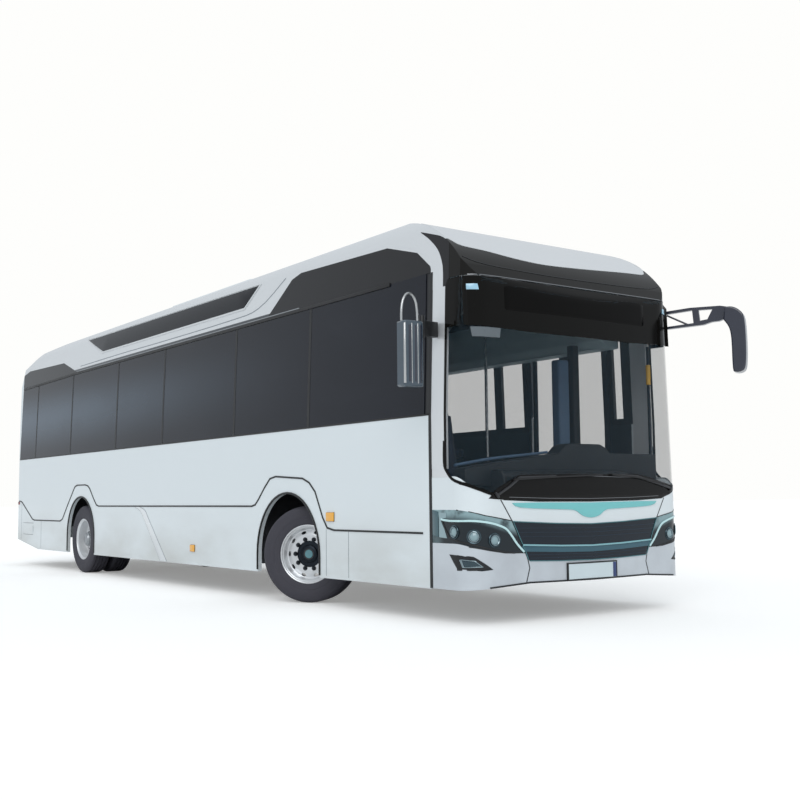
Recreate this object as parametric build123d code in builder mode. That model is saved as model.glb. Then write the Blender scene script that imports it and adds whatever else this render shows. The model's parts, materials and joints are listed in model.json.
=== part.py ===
"""Electric coach, 12 m, right-hand drive, two axles, its front wheels turned to the left.

Millimetres. +Z is up, the front looks along -Y, the coach's right side is at -X.
The origin is on the ground, on the centreline, half way along the whole length.
Places along the coach are given as distances back from the front seam, where the
side walls end and the curved front mask begins.
"""

from build123d import *
import os
from math import cos, radians, sin

os.makedirs("parts", exist_ok=True)

# Whole body
half_width = 1275.0
side_length = 11500.0
nose_length = 605.0
mirror_lead = 930.0
rear_bumper_proud = 30.0
seam_y = (mirror_lead - side_length - rear_bumper_proud) / 2
wall = 45.0
glass = 8.0
overrun = 60.0
side_band = 200.0

# Heights of the body's lines
skirt_z = 278.0
sill_z = 1730.0
crown_z = 3540.0
drip_drop = 590.0
drip_z = crown_z - drip_drop
eave_drop = 200.0
roof_line_drop = 70.0
eave_z = crown_z - eave_drop
roof_line_z = crown_z - roof_line_drop
roof_corner = 160.0
upper_lean = 40.0
eave_lean = 53.0

# Plan of the front and of the rear corners
bow_side = 215.0
bow_half = half_width - bow_side
bow_rise = 45.0
bow_depth = nose_length - bow_rise
corner_deep = 240.0
corner_start = bow_depth - corner_deep
rear_corner = 160.0

# Side profile of the front and of the rear roof
rake_z = 1000.0
screen_lean = 50.0
brow_drop = 190.0
brow_z = drip_z - brow_drop
brow_back = 170.0
brow_rise = 10.0
brow_top_z = drip_z + brow_rise
lean_rise = 160.0
lean_top_z = crown_z + lean_rise
top_lean = screen_lean * (lean_top_z - rake_z) / (brow_z - rake_z)
dome_mid_back = 430.0
dome_mid_drop = 310.0
dome_back = 900.0
dome_drop = 90.0
crown_start = 900.0
crown_tail = 3300.0
tail_slope = 1100.0
tail_drop = 110.0
tail_round = 220.0
tail_round_drop = 300.0
crown_end = side_length - crown_tail
tail_drip_drop = 90.0
tail_z = drip_z - tail_drip_drop

# Running gear
front_axle_back = 2380.0
rear_overhang = 3130.0
rear_axle_back = side_length - rear_overhang
tyre_radius = 482.0
tyre_width = 275.0
tyre_inset = 30.0
rim_radius = 300.0
rim_seat = 280.0
kingpin_offset = 210.0
steer_rest = 38.0
twin_gap = 50.0
arch_half = 620.0
arch_top_z = 1090.0
rear_arch_half = 550.0

# Hinges of the doors, the lids and the flap: barrels on pins
knuckle_radius = 14.0
knuckle_long = 70.0
knuckle_end = 30.0
pin_radius = 6.0
tab_thick = 6.0
tab_long = 60.0
fit = 0.3

axle_z = tyre_radius
front_axle_y = seam_y + front_axle_back
rear_axle_y = seam_y + rear_axle_back
wheel_x = half_width - tyre_inset - tyre_width / 2
kingpin_x = wheel_x - kingpin_offset


def back(distance):
    """Row place of a distance back from the front seam."""
    return seam_y + distance


def finish(part, name):
    """Label a finished piece and write it under its own name."""
    part.label = name
    export_step(part, f"parts/{name}.step")


# Body form
def body_form(inset):
    """The coach's outside form, drawn in on every face by inset."""
    floor_z = skirt_z - 2 * overrun
    eave_x = half_width - eave_lean
    # Plan: straight sides, tight front corners into a shallow bow, rounded rear corners.
    # The front is upright below rake_z and leans back above it
    plans = []
    for level, lean in ((rake_z, 0.0), (lean_top_z, top_lean)):
        with BuildSketch(Plane.XY.offset(level)) as plan:
            with BuildLine():
                for side in (-1, 1):
                    Line(
                        (side * half_width, back(lean - corner_start)),
                        (side * half_width, back(side_length - rear_corner)),
                    )
                    TangentArc(
                        (side * half_width, back(lean - corner_start)),
                        (side * bow_half, back(lean - bow_depth)),
                        tangent=(0, -1),
                    )
                    TangentArc(
                        (side * half_width, back(side_length - rear_corner)),
                        (side * (half_width - rear_corner), back(side_length)),
                        tangent=(0, 1),
                    )
                ThreePointArc(
                    (-bow_half, back(lean - bow_depth)),
                    (0, back(lean - nose_length)),
                    (bow_half, back(lean - bow_depth)),
                )
                Line(
                    (-half_width + rear_corner, back(side_length)),
                    (half_width - rear_corner, back(side_length)),
                )
            make_face()
            if inset:
                offset(amount=-inset, kind=Kind.INTERSECTION)
        plans.append(plan.sketch)
    with BuildPart() as plan_form:
        extrude(plans[0], amount=floor_z - overrun - rake_z)
        loft(plans, ruled=True)
    with BuildPart() as form:
        # Across: upright lower sides, leaning upper sides, rounded eaves, a low crown
        with BuildSketch(Plane.XZ):
            with BuildLine():
                Polyline(
                    (-eave_x, eave_z),
                    (-half_width + upper_lean, drip_z),
                    (-half_width, sill_z),
                    (-half_width, floor_z),
                    (half_width, floor_z),
                    (half_width, sill_z),
                    (half_width - upper_lean, drip_z),
                    (eave_x, eave_z),
                )
                flat_x = eave_x - roof_corner
                TangentArc((eave_x, eave_z), (flat_x, eave_z + roof_corner), tangent=(0, 1))
                ThreePointArc(
                    (flat_x, eave_z + roof_corner), (0, crown_z), (-flat_x, eave_z + roof_corner)
                )
                TangentArc((-eave_x, eave_z), (-flat_x, eave_z + roof_corner), tangent=(0, 1))
            make_face()
            if inset:
                offset(amount=-inset, kind=Kind.INTERSECTION)
        extrude(amount=side_length, both=True)
        add(plan_form.part, mode=Mode.INTERSECT)
        # Side profile: raked screen, domed brow, long flat crown, rounded tail
        with BuildSketch(Plane.YZ):
            with BuildLine():
                nose = back(-nose_length)
                Polyline(
                    (back(dome_back - nose_length), crown_z - dome_drop),
                    (back(crown_start), crown_z + overrun),
                    (back(crown_end), crown_z + overrun),
                    (back(crown_end), crown_z),
                    (back(side_length - tail_slope), crown_z - tail_drop),
                    (back(side_length - tail_round), crown_z - tail_round_drop),
                    (back(side_length), tail_z),
                    (back(side_length), floor_z - overrun),
                    (nose - overrun, floor_z - overrun),
                    (nose - overrun, rake_z),
                    (nose + screen_lean, brow_z),
                    (nose + brow_back, brow_top_z),
                )
                ThreePointArc(
                    (nose + brow_back, brow_top_z),
                    (nose + dome_mid_back, crown_z - dome_mid_drop),
                    (nose + dome_back, crown_z - dome_drop),
                )
            make_face()
            if inset:
                offset(amount=-inset, kind=Kind.INTERSECTION)
        extrude(amount=half_width + overrun, both=True, mode=Mode.INTERSECT)
    return form.part


outer = body_form(0)
glass_inside = body_form(glass)
inner = body_form(wall)

with BuildPart() as whole_wall_form:
    add(outer)
    add(inner, mode=Mode.SUBTRACT)
whole_wall = whole_wall_form.part

with BuildPart() as glass_skin_form:
    add(outer)
    add(glass_inside, mode=Mode.SUBTRACT)
glass_skin = glass_skin_form.part

with BuildPart() as frame_skin_form:
    add(glass_inside)
    add(inner, mode=Mode.SUBTRACT)
frame_skin = frame_skin_form.part


def side_piece(layer, side, points, openings=(), wheels=()):
    """The stretch of one side's wall that a side-view outline covers, less the wheels' arches."""
    with BuildPart() as piece:
        add(layer)
        with BuildSketch(Plane.YZ.offset(side * (half_width - side_band))):
            with BuildLine():
                Polyline(*points, close=True)
            make_face()
            for opening in openings:
                with BuildLine():
                    Polyline(*opening, close=True)
                make_face(mode=Mode.SUBTRACT)
            for centre, half in wheels:
                with Locations((centre, arch_top_z - half)):
                    Circle(half, mode=Mode.SUBTRACT)
                with Locations((centre, arch_top_z - half - half / 2)):
                    Rectangle(2 * half, half, mode=Mode.SUBTRACT)
        extrude(amount=side * (side_band + overrun), mode=Mode.INTERSECT)
    return piece.part


def front_piece(layer, points, openings=(), behind=0.0):
    """The stretch of the front wall that a front-view outline covers, ahead of behind."""
    with BuildPart() as piece:
        add(layer)
        with BuildSketch(Plane.XZ.offset(-back(-behind))):
            with BuildLine():
                Polyline(*points, close=True)
            make_face()
            for opening in openings:
                with BuildLine():
                    Polyline(*opening, close=True)
                make_face(mode=Mode.SUBTRACT)
        extrude(amount=nose_length + overrun, mode=Mode.INTERSECT)
    return piece.part


def rear_piece(layer, points, openings=()):
    """The stretch of the rear wall that a rear-view outline covers."""
    with BuildPart() as piece:
        add(layer)
        with BuildSketch(Plane.XZ.offset(-back(side_length - rear_corner))):
            with BuildLine():
                Polyline(*points, close=True)
            make_face()
            for opening in openings:
                with BuildLine():
                    Polyline(*opening, close=True)
                make_face(mode=Mode.SUBTRACT)
        extrude(amount=-(rear_corner + overrun), mode=Mode.INTERSECT)
    return piece.part


# Lines of the sides, as (distance back, height)
side_end = side_length - rear_corner
trim_line = (
    (0, 730.0),
    (front_axle_back - 770.0, 730.0),
    (front_axle_back - 540.0, 1090.0),
    (front_axle_back - 300.0, 1230.0),
    (front_axle_back + 320.0, 1270.0),
    (front_axle_back + 610.0, 1030.0),
    (front_axle_back + 740.0, 960.0),
    (rear_axle_back - 680.0, 960.0),
    (rear_axle_back - 240.0, 1260.0),
    (rear_axle_back + 250.0, 1260.0),
    (rear_axle_back + 590.0, 960.0),
    (rear_axle_back + 850.0, 730.0),
    (side_end - 800.0, 730.0),
    (side_end - 100.0, 1040.0),
    (side_end, 1040.0),
)
tail_rise_start = side_end - 1030.0
tail_rise_z = 410.0
# Steps behind the front door
step_inner = half_width - 575.0
step_middle = half_width - 315.0
step_outer = half_width - 60.0

# Left front door, two leaves on their outer edges
door_front = 300.0
door_width = 1200.0
door_foot_z = 330.0
door_head_z = drip_z - 50.0
door_gap = 9.0
leaf_gap = 24.0
door_frame = 70.0
door_rear = door_front + door_width
doorway = (
    (back(door_front), door_foot_z),
    (back(door_rear), door_foot_z),
    (back(door_rear), door_head_z),
    (back(door_front), door_head_z),
)

# Charge flap in the right skirt
flap_front = side_length - 940.0
flap_length = 520.0
flap_foot_z = 500.0
flap_height = 190.0
flap_gap = 6.0
flap_knuckle = 7.0
flap_pin = 3.0
flap_hinge_z = flap_foot_z + flap_height / 2
flap_pin_place = flap_front + flap_gap / 2
flap_opening = (
    (back(flap_front), flap_foot_z),
    (back(flap_front + flap_length), flap_foot_z),
    (back(flap_front + flap_length), flap_foot_z + flap_height),
    (back(flap_front), flap_foot_z + flap_height),
)

# Roof side: black panels at the front and the tail, a silver fairing round them.
# Front corners as (distance back, rise above the rail), tail corners as (distance ahead of the end, rise)
cant_rises = ((200.0, 210.0), (660.0, 340.0), (2190.0, 380.0), (2370.0, 340.0), (2900.0, 0.0))
tail_cant_rises = ((2640.0, 0.0), (1990.0, 210.0), (300.0, 250.0), (0.0, 200.0))
cant_start_rise = 50.0
cant_edge = [(0.0, drip_z + cant_start_rise)] + [(place, drip_z + rise) for place, rise in cant_rises]
tail_cant_edge = [(side_end - place, drip_z + rise) for place, rise in tail_cant_rises]
cant_line = [(0.0, drip_z)] + cant_edge[::-1]
tail_cant_line = [(side_end, drip_z)] + tail_cant_edge[::-1]
fairing_line = cant_edge + tail_cant_edge + [(side_end, roof_line_z), (0.0, roof_line_z)]

arches = ((front_axle_y, arch_half), (rear_axle_y, rear_arch_half))
trim_points = [(back(distance), height) for distance, height in trim_line]
window_start = 60.0
window_shares = (0.0, 0.1698, 0.3113, 0.4833, 0.6211, 0.782, 0.9279, 1.0)
window_stops = [window_start + share * (side_end - window_start) for share in window_shares]
window_border = 60.0
pane_gap = 14.0

frames, panes_both, cants, fairings = [], [], [], []
for side, name in ((-1, "right"), (1, "left")):
    doorways = (doorway,) if side > 0 else ()
    skirt_points = (
        [(back(0), skirt_z)]
        + trim_points
        + [(back(side_end), tail_rise_z), (back(tail_rise_start), skirt_z)]
    )
    flaps = (flap_opening,) if side < 0 else ()
    with BuildPart() as skirt:
        add(side_piece(whole_wall, side, skirt_points, doorways + flaps, arches))
        if flaps:
            # Barrels of the charge flap's hinge, above and below the flap's own
            for foot in (flap_hinge_z - 2 * knuckle_end - fit, flap_hinge_z + knuckle_end + fit):
                with BuildSketch(Plane.XY.offset(foot)):
                    with Locations((-half_width - flap_knuckle, back(flap_pin_place))):
                        Circle(flap_knuckle)
                    with Locations((-half_width - tab_thick / 4, back(flap_pin_place - tab_long / 4))):
                        Rectangle(tab_thick / 2, tab_long / 2)
                extrude(amount=knuckle_end)
            with BuildSketch(Plane.XY.offset(flap_hinge_z - 2 * knuckle_end)):
                with Locations((-half_width - flap_knuckle, back(flap_pin_place))):
                    Circle(flap_pin)
            extrude(amount=4 * knuckle_end)
    finish(skirt.part, f"skirt_{name}")
    wall_points = trim_points + [(back(side_end), sill_z), (back(0), sill_z)]
    finish(side_piece(whole_wall, side, wall_points, doorways), f"side_panel_{name}")
    frame_points = ((back(0), sill_z), (back(side_end), sill_z), (back(side_end), drip_z), (back(0), drip_z))
    spans = list(zip(window_stops[:-1], window_stops[1:]))
    if side > 0:
        spans = [(window_stops[0], door_front), (door_rear, window_stops[1])] + spans[1:]
    bays = [
        (
            (back(start + window_border), sill_z + window_border),
            (back(stop - window_border), sill_z + window_border),
            (back(stop - window_border), drip_z - window_border),
            (back(start + window_border), drip_z - window_border),
        )
        for start, stop in spans
    ]
    frames.append(side_piece(frame_skin, side, frame_points, tuple(bays) + doorways))
    for start, stop in spans:
        pane_points = (
            (back(start + pane_gap / 2), sill_z),
            (back(stop - pane_gap / 2), sill_z),
            (back(stop - pane_gap / 2), drip_z),
            (back(start + pane_gap / 2), drip_z),
        )
        panes_both.append(side_piece(glass_skin, side, pane_points, doorways))
    cant_points = [(back(distance), height) for distance, height in cant_line]
    tail_cant_points = [(back(distance), height) for distance, height in tail_cant_line]
    cants.append(side_piece(whole_wall, side, cant_points))
    cants.append(side_piece(whole_wall, side, tail_cant_points))
    fairing_points = [(back(distance), height) for distance, height in fairing_line]
    fairings.append(side_piece(whole_wall, side, fairing_points))

for group, name in (
    (frames, "window_frames"),
    (panes_both, "side_glass"),
    (cants, "cant_panels"),
    (fairings, "roof_fairings"),
):
    with BuildPart() as group_form:
        for piece in group:
            add(piece)
    finish(group_form.part, name)

# Front, in front view: half outlines as (distance from the centreline, height)
hoop_width = 200.0
hoop_inner = half_width - 275.0
hoop_foot_z = 1270.0
screen_top_z = drip_z - 90.0
band_foot_z = 800.0
reach = half_width + overrun
screen_line = (
    (0.0, 985.0),
    (600.0, 990.0),
    (half_width - 325.0, 1005.0),
    (half_width - 145.0, 1075.0),
    (half_width - 50.0, 1120.0),
    (half_width - 3.0, 1200.0),
    (reach, hoop_foot_z),
)
cap_line = (
    (0.0, crown_z - 325.0),
    (400.0, crown_z - 312.0),
    (half_width - 585.0, crown_z - 255.0),
    (half_width - 275.0, crown_z - 150.0),
    (half_width - 175.0, crown_z - 60.0),
    (reach, crown_z - 60.0),
)
lamp_line = (
    # clockwise in front view on the coach's left, from the tip by the grille
    (half_width - 540.0, 575.0),
    (half_width - 404.0, 835.0),
    (half_width - 143.0, 881.0),
    (half_width - 10.0, 927.0),
    (reach, 957.0),
    (reach, 690.0),
    (half_width - 42.0, 635.0),
    (half_width - 179.0, 605.0),
    (half_width - 331.0, 582.0),
)
grille_line = (
    (0.0, 490.0),
    (half_width - 575.0, 505.0),
    (half_width - 540.0, 575.0),
    (half_width - 404.0, 835.0),
    (400.0, 812.0),
    (0.0, band_foot_z),
)
bumper_foot = (
    (0.0, 320.0),
    (half_width - 575.0, 325.0),
    (half_width - 175.0, 300.0),
    (reach, skirt_z),
)
fog_start = nose_length - 275.0
fog_line = (
    (half_width - 210.0, 450.0),
    (half_width - 85.0, 540.0),
    (half_width - 7.0, 565.0),
    (half_width - 7.0, 455.0),
    (half_width - 115.0, 440.0),
)


def both_halves(points):
    """Outline across the front from its half, which runs from the centreline outwards and back."""
    return list(points) + [(-across, height) for across, height in reversed(points) if across]


def ahead_of(piece, distance):
    """What of a front piece lies ahead of a distance back from the seam."""
    with BuildPart() as kept:
        add(piece)
        with BuildSketch(Plane.XZ.offset(-back(distance))):
            Rectangle(4 * half_width, 4 * crown_z)
        extrude(amount=2 * nose_length, mode=Mode.INTERSECT)
    return kept.part


def both_sides(points):
    """A closed outline on the coach's left, and its mirror image on the right."""
    return tuple(points), tuple((-across, height) for across, height in points)


screen_half = screen_line + ((reach, screen_top_z), (0.0, screen_top_z))
finish(ahead_of(front_piece(glass_skin, both_halves(screen_half)), -hoop_width), "windshield")

with BuildPart() as hoop_room:
    with BuildSketch(Plane.XY.offset(hoop_foot_z)):
        for side in (-1, 1):
            with Locations((side * (hoop_inner + reach) / 2, back(-hoop_width / 2))):
                Rectangle(reach - hoop_inner, hoop_width)
    extrude(amount=crown_z - hoop_foot_z)
with BuildPart() as hoop:
    add(whole_wall)
    add(hoop_room.part, mode=Mode.INTERSECT)
finish(hoop.part, "front_hoop")

cap_half = ((0.0, screen_top_z), (reach, screen_top_z)) + cap_line[::-1]
with BuildPart() as cap:
    add(front_piece(whole_wall, both_halves(cap_half)))
    add(hoop_room.part, mode=Mode.SUBTRACT)
finish(cap.part, "front_cap")

band_half = grille_line[:2:-1] + lamp_line[2:5] + screen_line[::-1]
finish(front_piece(whole_wall, both_halves(band_half)), "front_band")

finish(front_piece(whole_wall, both_halves(grille_line)), "grille_band")

fogs_both = both_sides(fog_line)
bumper_half = bumper_foot + (lamp_line[5], *lamp_line[6:], lamp_line[0], *grille_line[1::-1])
with BuildPart() as bumper:
    add(front_piece(whole_wall, both_halves(bumper_half)))
    for opening in fogs_both:
        add(ahead_of(front_piece(whole_wall, opening), -fog_start), mode=Mode.SUBTRACT)
finish(bumper.part, "front_bumper")

with BuildPart() as fogs:
    for opening in fogs_both:
        add(ahead_of(front_piece(frame_skin, opening), -fog_start))
finish(fogs.part, "fog_lamps")

with BuildPart() as headlamps:
    for outline in both_sides(lamp_line):
        add(front_piece(whole_wall, outline))
finish(headlamps.part, "headlamps")

# Roof with two hatch openings
hatch_length = 700.0
hatch_width = 600.0
hatch_thick = 30.0
hatch_lap = 30.0
hatch_hinges = (-180.0, 180.0)
hatch_pin_z = crown_z + knuckle_radius + fit
hatch_gap = 12.0
hatch_places = (("front", 2700.0), ("rear", side_length - 3600.0))
with BuildPart() as side_rooms:
    with BuildSketch(Plane.XY.offset(drip_z)):
        for side in (-1, 1):
            with Locations((side * (half_width - side_band + reach) / 2, back(side_end / 2))):
                Rectangle(reach - half_width + side_band, side_end)
    extrude(amount=roof_line_z - drip_z)
with BuildPart() as roof:
    add(whole_wall)
    with BuildSketch(Plane.YZ):
        with BuildLine():
            Polyline(
                (back(-nose_length), cap_line[0][1]),
                (back(0), cap_line[0][1]),
                (back(0), drip_z),
                (back(side_end), drip_z),
                (back(side_end), crown_z + overrun),
                (back(-nose_length), crown_z + overrun),
                close=True,
            )
        make_face()
    extrude(amount=reach, both=True, mode=Mode.INTERSECT)
    add(hoop_room.part, mode=Mode.SUBTRACT)
    add(side_rooms.part, mode=Mode.SUBTRACT)
    add(cap.part, mode=Mode.SUBTRACT)
    with BuildSketch(Plane.XY.offset(eave_z)):
        for hatch_name, distance in hatch_places:
            with Locations((0, back(distance))):
                Rectangle(hatch_width, hatch_length)
    extrude(amount=crown_z, mode=Mode.SUBTRACT)
    # Barrels of the hatch hinges stand on the roof at each end of the lid's own barrels
    for hatch_name, distance in hatch_places:
        for across in hatch_hinges:
            with BuildSketch(Plane.YZ.offset(across - knuckle_long / 2 - knuckle_end - fit)):
                with Locations((back(distance - hatch_length / 2 - hatch_lap - knuckle_radius), hatch_pin_z)):
                    Circle(knuckle_radius)
                with Locations((back(distance - hatch_length / 2 - hatch_lap - knuckle_radius), crown_z)):
                    Rectangle(knuckle_radius, 2 * knuckle_radius)
            extrude(amount=knuckle_end)
            with BuildSketch(Plane.YZ.offset(across + knuckle_long / 2 + fit)):
                with Locations((back(distance - hatch_length / 2 - hatch_lap - knuckle_radius), hatch_pin_z)):
                    Circle(knuckle_radius)
                with Locations((back(distance - hatch_length / 2 - hatch_lap - knuckle_radius), crown_z)):
                    Rectangle(knuckle_radius, 2 * knuckle_radius)
            extrude(amount=knuckle_end)
            with BuildSketch(Plane.YZ.offset(across - knuckle_long / 2 - knuckle_end)):
                with Locations((back(distance - hatch_length / 2 - hatch_lap - knuckle_radius), hatch_pin_z)):
                    Circle(pin_radius)
            extrude(amount=knuckle_long + 2 * knuckle_end)
finish(roof.part, "roof")
for hatch_name, distance in hatch_places:
    pin_y = back(distance - hatch_length / 2 - hatch_lap - knuckle_radius)
    with BuildPart() as hatch:
        with BuildSketch(Plane.XY.offset(crown_z + fit)):
            with Locations((0, back(distance))):
                RectangleRounded(hatch_width + 2 * hatch_lap, hatch_length + 2 * hatch_lap, 2 * hatch_gap)
        extrude(amount=hatch_thick)
        chamfer(hatch.faces().sort_by(Axis.Z)[-1].edges(), hatch_thick / 3)
        for across in hatch_hinges:
            with BuildSketch(Plane.YZ.offset(across - knuckle_long / 2)):
                with Locations((pin_y, hatch_pin_z)):
                    Circle(knuckle_radius)
                with Locations((pin_y + knuckle_radius + tab_thick / 2, crown_z + fit + tab_thick / 2)):
                    Rectangle(2 * knuckle_radius + tab_thick, tab_thick)
                with Locations((pin_y, hatch_pin_z)):
                    Circle(pin_radius + fit, mode=Mode.SUBTRACT)
            extrude(amount=knuckle_long)
    finish(hatch.part, f"roof_hatch_{hatch_name}")

# Rear wall, with its window, motor bay lid, lamps and bumper
rear_foot_z = 410.0
rear_bumper_top_z = 800.0
lid_half = half_width - 515.0
lid_foot_z = 830.0
lid_top_z = 1700.0
lid_gap = 8.0
rear_glass_half = half_width - 345.0
rear_glass_foot_z = 1900.0
rear_glass_top_z = drip_z - 230.0
rear_lamp_inner = half_width - 345.0
rear_lamp_outer = half_width - 175.0
rear_lamp_foot_z = 880.0
rear_lamp_top_z = 1500.0


def block(half, foot, top):
    """Outline as wide on both sides of the centreline."""
    return ((-half, foot), (half, foot), (half, top), (-half, top))


lid_opening = block(lid_half, lid_foot_z, lid_top_z)
glass_opening = block(rear_glass_half, rear_glass_foot_z, rear_glass_top_z)
rear_lamp_openings = tuple(
    (
        (side * rear_lamp_inner, rear_lamp_foot_z),
        (side * rear_lamp_outer, rear_lamp_foot_z),
        (side * rear_lamp_outer, rear_lamp_top_z),
        (side * rear_lamp_inner, rear_lamp_top_z),
    )
    for side in (-1, 1)
)
lid_hinges = (-450.0, 450.0)
lid_pin_z = lid_top_z - lid_gap / 2
lid_pin_y = back(side_length) + knuckle_radius
with BuildPart() as rear_panel:
    add(
        rear_piece(
            whole_wall,
            block(reach, rear_bumper_top_z, crown_z),
            (lid_opening, glass_opening) + rear_lamp_openings,
        )
    )
    for across in lid_hinges:
        for start in (across - knuckle_long / 2 - knuckle_end - fit, across + knuckle_long / 2 + fit):
            with BuildSketch(Plane.YZ.offset(start)):
                with Locations((lid_pin_y, lid_pin_z)):
                    Circle(knuckle_radius)
                with Locations((back(side_length) + tab_thick / 2, lid_pin_z + tab_long / 2)):
                    Rectangle(tab_thick, tab_long)
            extrude(amount=knuckle_end)
        with BuildSketch(Plane.YZ.offset(across - knuckle_long / 2 - knuckle_end)):
            with Locations((lid_pin_y, lid_pin_z)):
                Circle(pin_radius)
        extrude(amount=knuckle_long + 2 * knuckle_end)
finish(rear_panel.part, "rear_panel")
finish(rear_piece(glass_skin, glass_opening), "rear_window")
with BuildPart() as rear_lamps:
    for opening in rear_lamp_openings:
        add(rear_piece(whole_wall, opening))
finish(rear_lamps.part, "rear_lamps")
lid_outline = block(lid_half - lid_gap, lid_foot_z + lid_gap, lid_top_z - lid_gap)
with BuildPart() as motor_lid:
    add(rear_piece(whole_wall, lid_outline))
    for across in lid_hinges:
        with BuildSketch(Plane.YZ.offset(across - knuckle_long / 2)):
            with Locations((lid_pin_y, lid_pin_z)):
                Circle(knuckle_radius)
            with Locations((back(side_length) + tab_thick / 2, lid_pin_z - tab_long / 2)):
                Rectangle(tab_thick, tab_long)
            with Locations((lid_pin_y, lid_pin_z)):
                Circle(pin_radius + fit, mode=Mode.SUBTRACT)
        extrude(amount=knuckle_long)
finish(motor_lid.part, "motor_lid")
with BuildPart() as rear_bumper:
    add(rear_piece(whole_wall, block(reach, rear_foot_z, rear_bumper_top_z)))
    with BuildSketch(Plane.XZ.offset(-back(side_length))):
        with Locations((0, (rear_foot_z + rear_bumper_top_z) / 2)):
            RectangleRounded(
                2 * (half_width - rear_corner), (rear_bumper_top_z - rear_foot_z) / 2, rear_bumper_proud
            )
    extrude(amount=-rear_bumper_proud)
finish(rear_bumper.part, "rear_bumper")

# Front door leaves: whole-wall frames with one pane each, hinged on their outer edges
leaf_foot_z = door_foot_z + door_gap
leaf_head_z = door_head_z - door_gap
leaf_middle = door_front + door_width / 2
hinge_heights = (880.0, 1600.0)
hinge_x = half_width + knuckle_radius
leaf_rows = (
    # name, front edge, rear edge, hinge pin's place, way from the pin into the leaf
    ("front", door_front + door_gap, leaf_middle - leaf_gap / 2, door_front + door_gap / 2, 1),
    ("rear", leaf_middle + leaf_gap / 2, door_rear - door_gap, door_rear - door_gap / 2, -1),
)
for leaf_name, start, stop, pin_place, way in leaf_rows:
    leaf = (
        (back(start), leaf_foot_z),
        (back(stop), leaf_foot_z),
        (back(stop), leaf_head_z),
        (back(start), leaf_head_z),
    )
    light = (
        (back(start + door_frame), leaf_foot_z + 2 * door_frame),
        (back(stop - door_frame), leaf_foot_z + 2 * door_frame),
        (back(stop - door_frame), leaf_head_z - door_frame),
        (back(start + door_frame), leaf_head_z - door_frame),
    )
    with BuildPart() as leaf_form:
        add(side_piece(whole_wall, 1, leaf, (light,)))
        for height in hinge_heights:
            with BuildSketch(Plane.XY.offset(height)):
                with Locations((hinge_x, back(pin_place))):
                    Circle(knuckle_radius)
                with Locations((half_width + tab_thick / 2, back(pin_place + way * tab_long / 2))):
                    Rectangle(tab_thick, tab_long)
                with Locations((hinge_x, back(pin_place))):
                    Circle(pin_radius + fit, mode=Mode.SUBTRACT)
            extrude(amount=knuckle_long)
    finish(leaf_form.part, f"door_{leaf_name}_leaf")
    finish(side_piece(glass_skin, 1, light), f"door_{leaf_name}_glass")
with BuildPart() as door_hinges:
    for leaf_name, start, stop, pin_place, way in leaf_rows:
        for height in hinge_heights:
            for foot in (height - knuckle_end - fit, height + knuckle_long + fit):
                with BuildSketch(Plane.XY.offset(foot)):
                    with Locations((hinge_x, back(pin_place))):
                        Circle(knuckle_radius)
                    with Locations((half_width + tab_thick / 2, back(pin_place - way * tab_long / 2))):
                        Rectangle(tab_thick, tab_long)
                extrude(amount=knuckle_end)
            with BuildSketch(Plane.XY.offset(height - knuckle_end)):
                with Locations((hinge_x, back(pin_place))):
                    Circle(pin_radius)
            extrude(amount=knuckle_long + 2 * knuckle_end)
finish(door_hinges.part, "door_hinges")

# Charge flap, hinged on its front edge, with its own small barrels
flap = (
    (back(flap_front + flap_gap), flap_foot_z + flap_gap),
    (back(flap_front + flap_length - flap_gap), flap_foot_z + flap_gap),
    (back(flap_front + flap_length - flap_gap), flap_foot_z + flap_height - flap_gap),
    (back(flap_front + flap_gap), flap_foot_z + flap_height - flap_gap),
)
with BuildPart() as flap_form:
    add(side_piece(whole_wall, -1, flap))
    with BuildSketch(Plane.XY.offset(flap_hinge_z - knuckle_end)):
        with Locations((-half_width - flap_knuckle, back(flap_pin_place))):
            Circle(flap_knuckle)
        with Locations((-half_width - tab_thick / 4, back(flap_pin_place + tab_long / 4))):
            Rectangle(tab_thick / 2, tab_long / 2)
        with Locations((-half_width - flap_knuckle, back(flap_pin_place))):
            Circle(flap_pin + fit, mode=Mode.SUBTRACT)
    extrude(amount=2 * knuckle_end)
finish(flap_form.part, "charge_flap")

# Floor: a low cab platform, a passenger deck over the wheels, and a plinth between them
deck_z = 1150.0
cab_floor_z = 720.0
floor_thick = 60.0
deck_start = 1660.0
floor_half = half_width - wall
floor_clear = 0.3
deck_end = side_end - 3 * wall
with BuildPart() as floor:
    with BuildSketch(Plane.XY.offset(deck_z - floor_thick)):
        with Locations((0, back((deck_start + deck_end) / 2))):
            Rectangle(2 * (floor_half - floor_clear), deck_end - deck_start)
    extrude(amount=floor_thick)
    with BuildSketch(Plane.XY.offset(cab_floor_z)):
        with Locations((0, back(deck_start + floor_thick / 2))):
            Rectangle(2 * (floor_half - floor_clear), floor_thick)
    extrude(amount=deck_z - cab_floor_z)
    with BuildSketch(Plane.XY.offset(cab_floor_z - floor_thick)):
        with BuildLine():
            Polyline(
                (-floor_half + floor_clear, back(deck_start + floor_thick)),
                (floor_half - floor_clear, back(deck_start + floor_thick)),
                (floor_half - floor_clear, back(door_rear + door_frame)),
                (step_inner, back(door_rear + door_frame)),
                (step_inner, back(0)),
                (bow_half - wall, back(0)),
                (bow_half - wall, back(-bow_depth + 2 * wall)),
                (-bow_half + wall, back(-bow_depth + 2 * wall)),
                (-bow_half + wall, back(0)),
                (-floor_half + floor_clear, back(0)),
                close=True,
            )
        make_face()
    extrude(amount=floor_thick)
finish(floor.part, "floor_deck")

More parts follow.
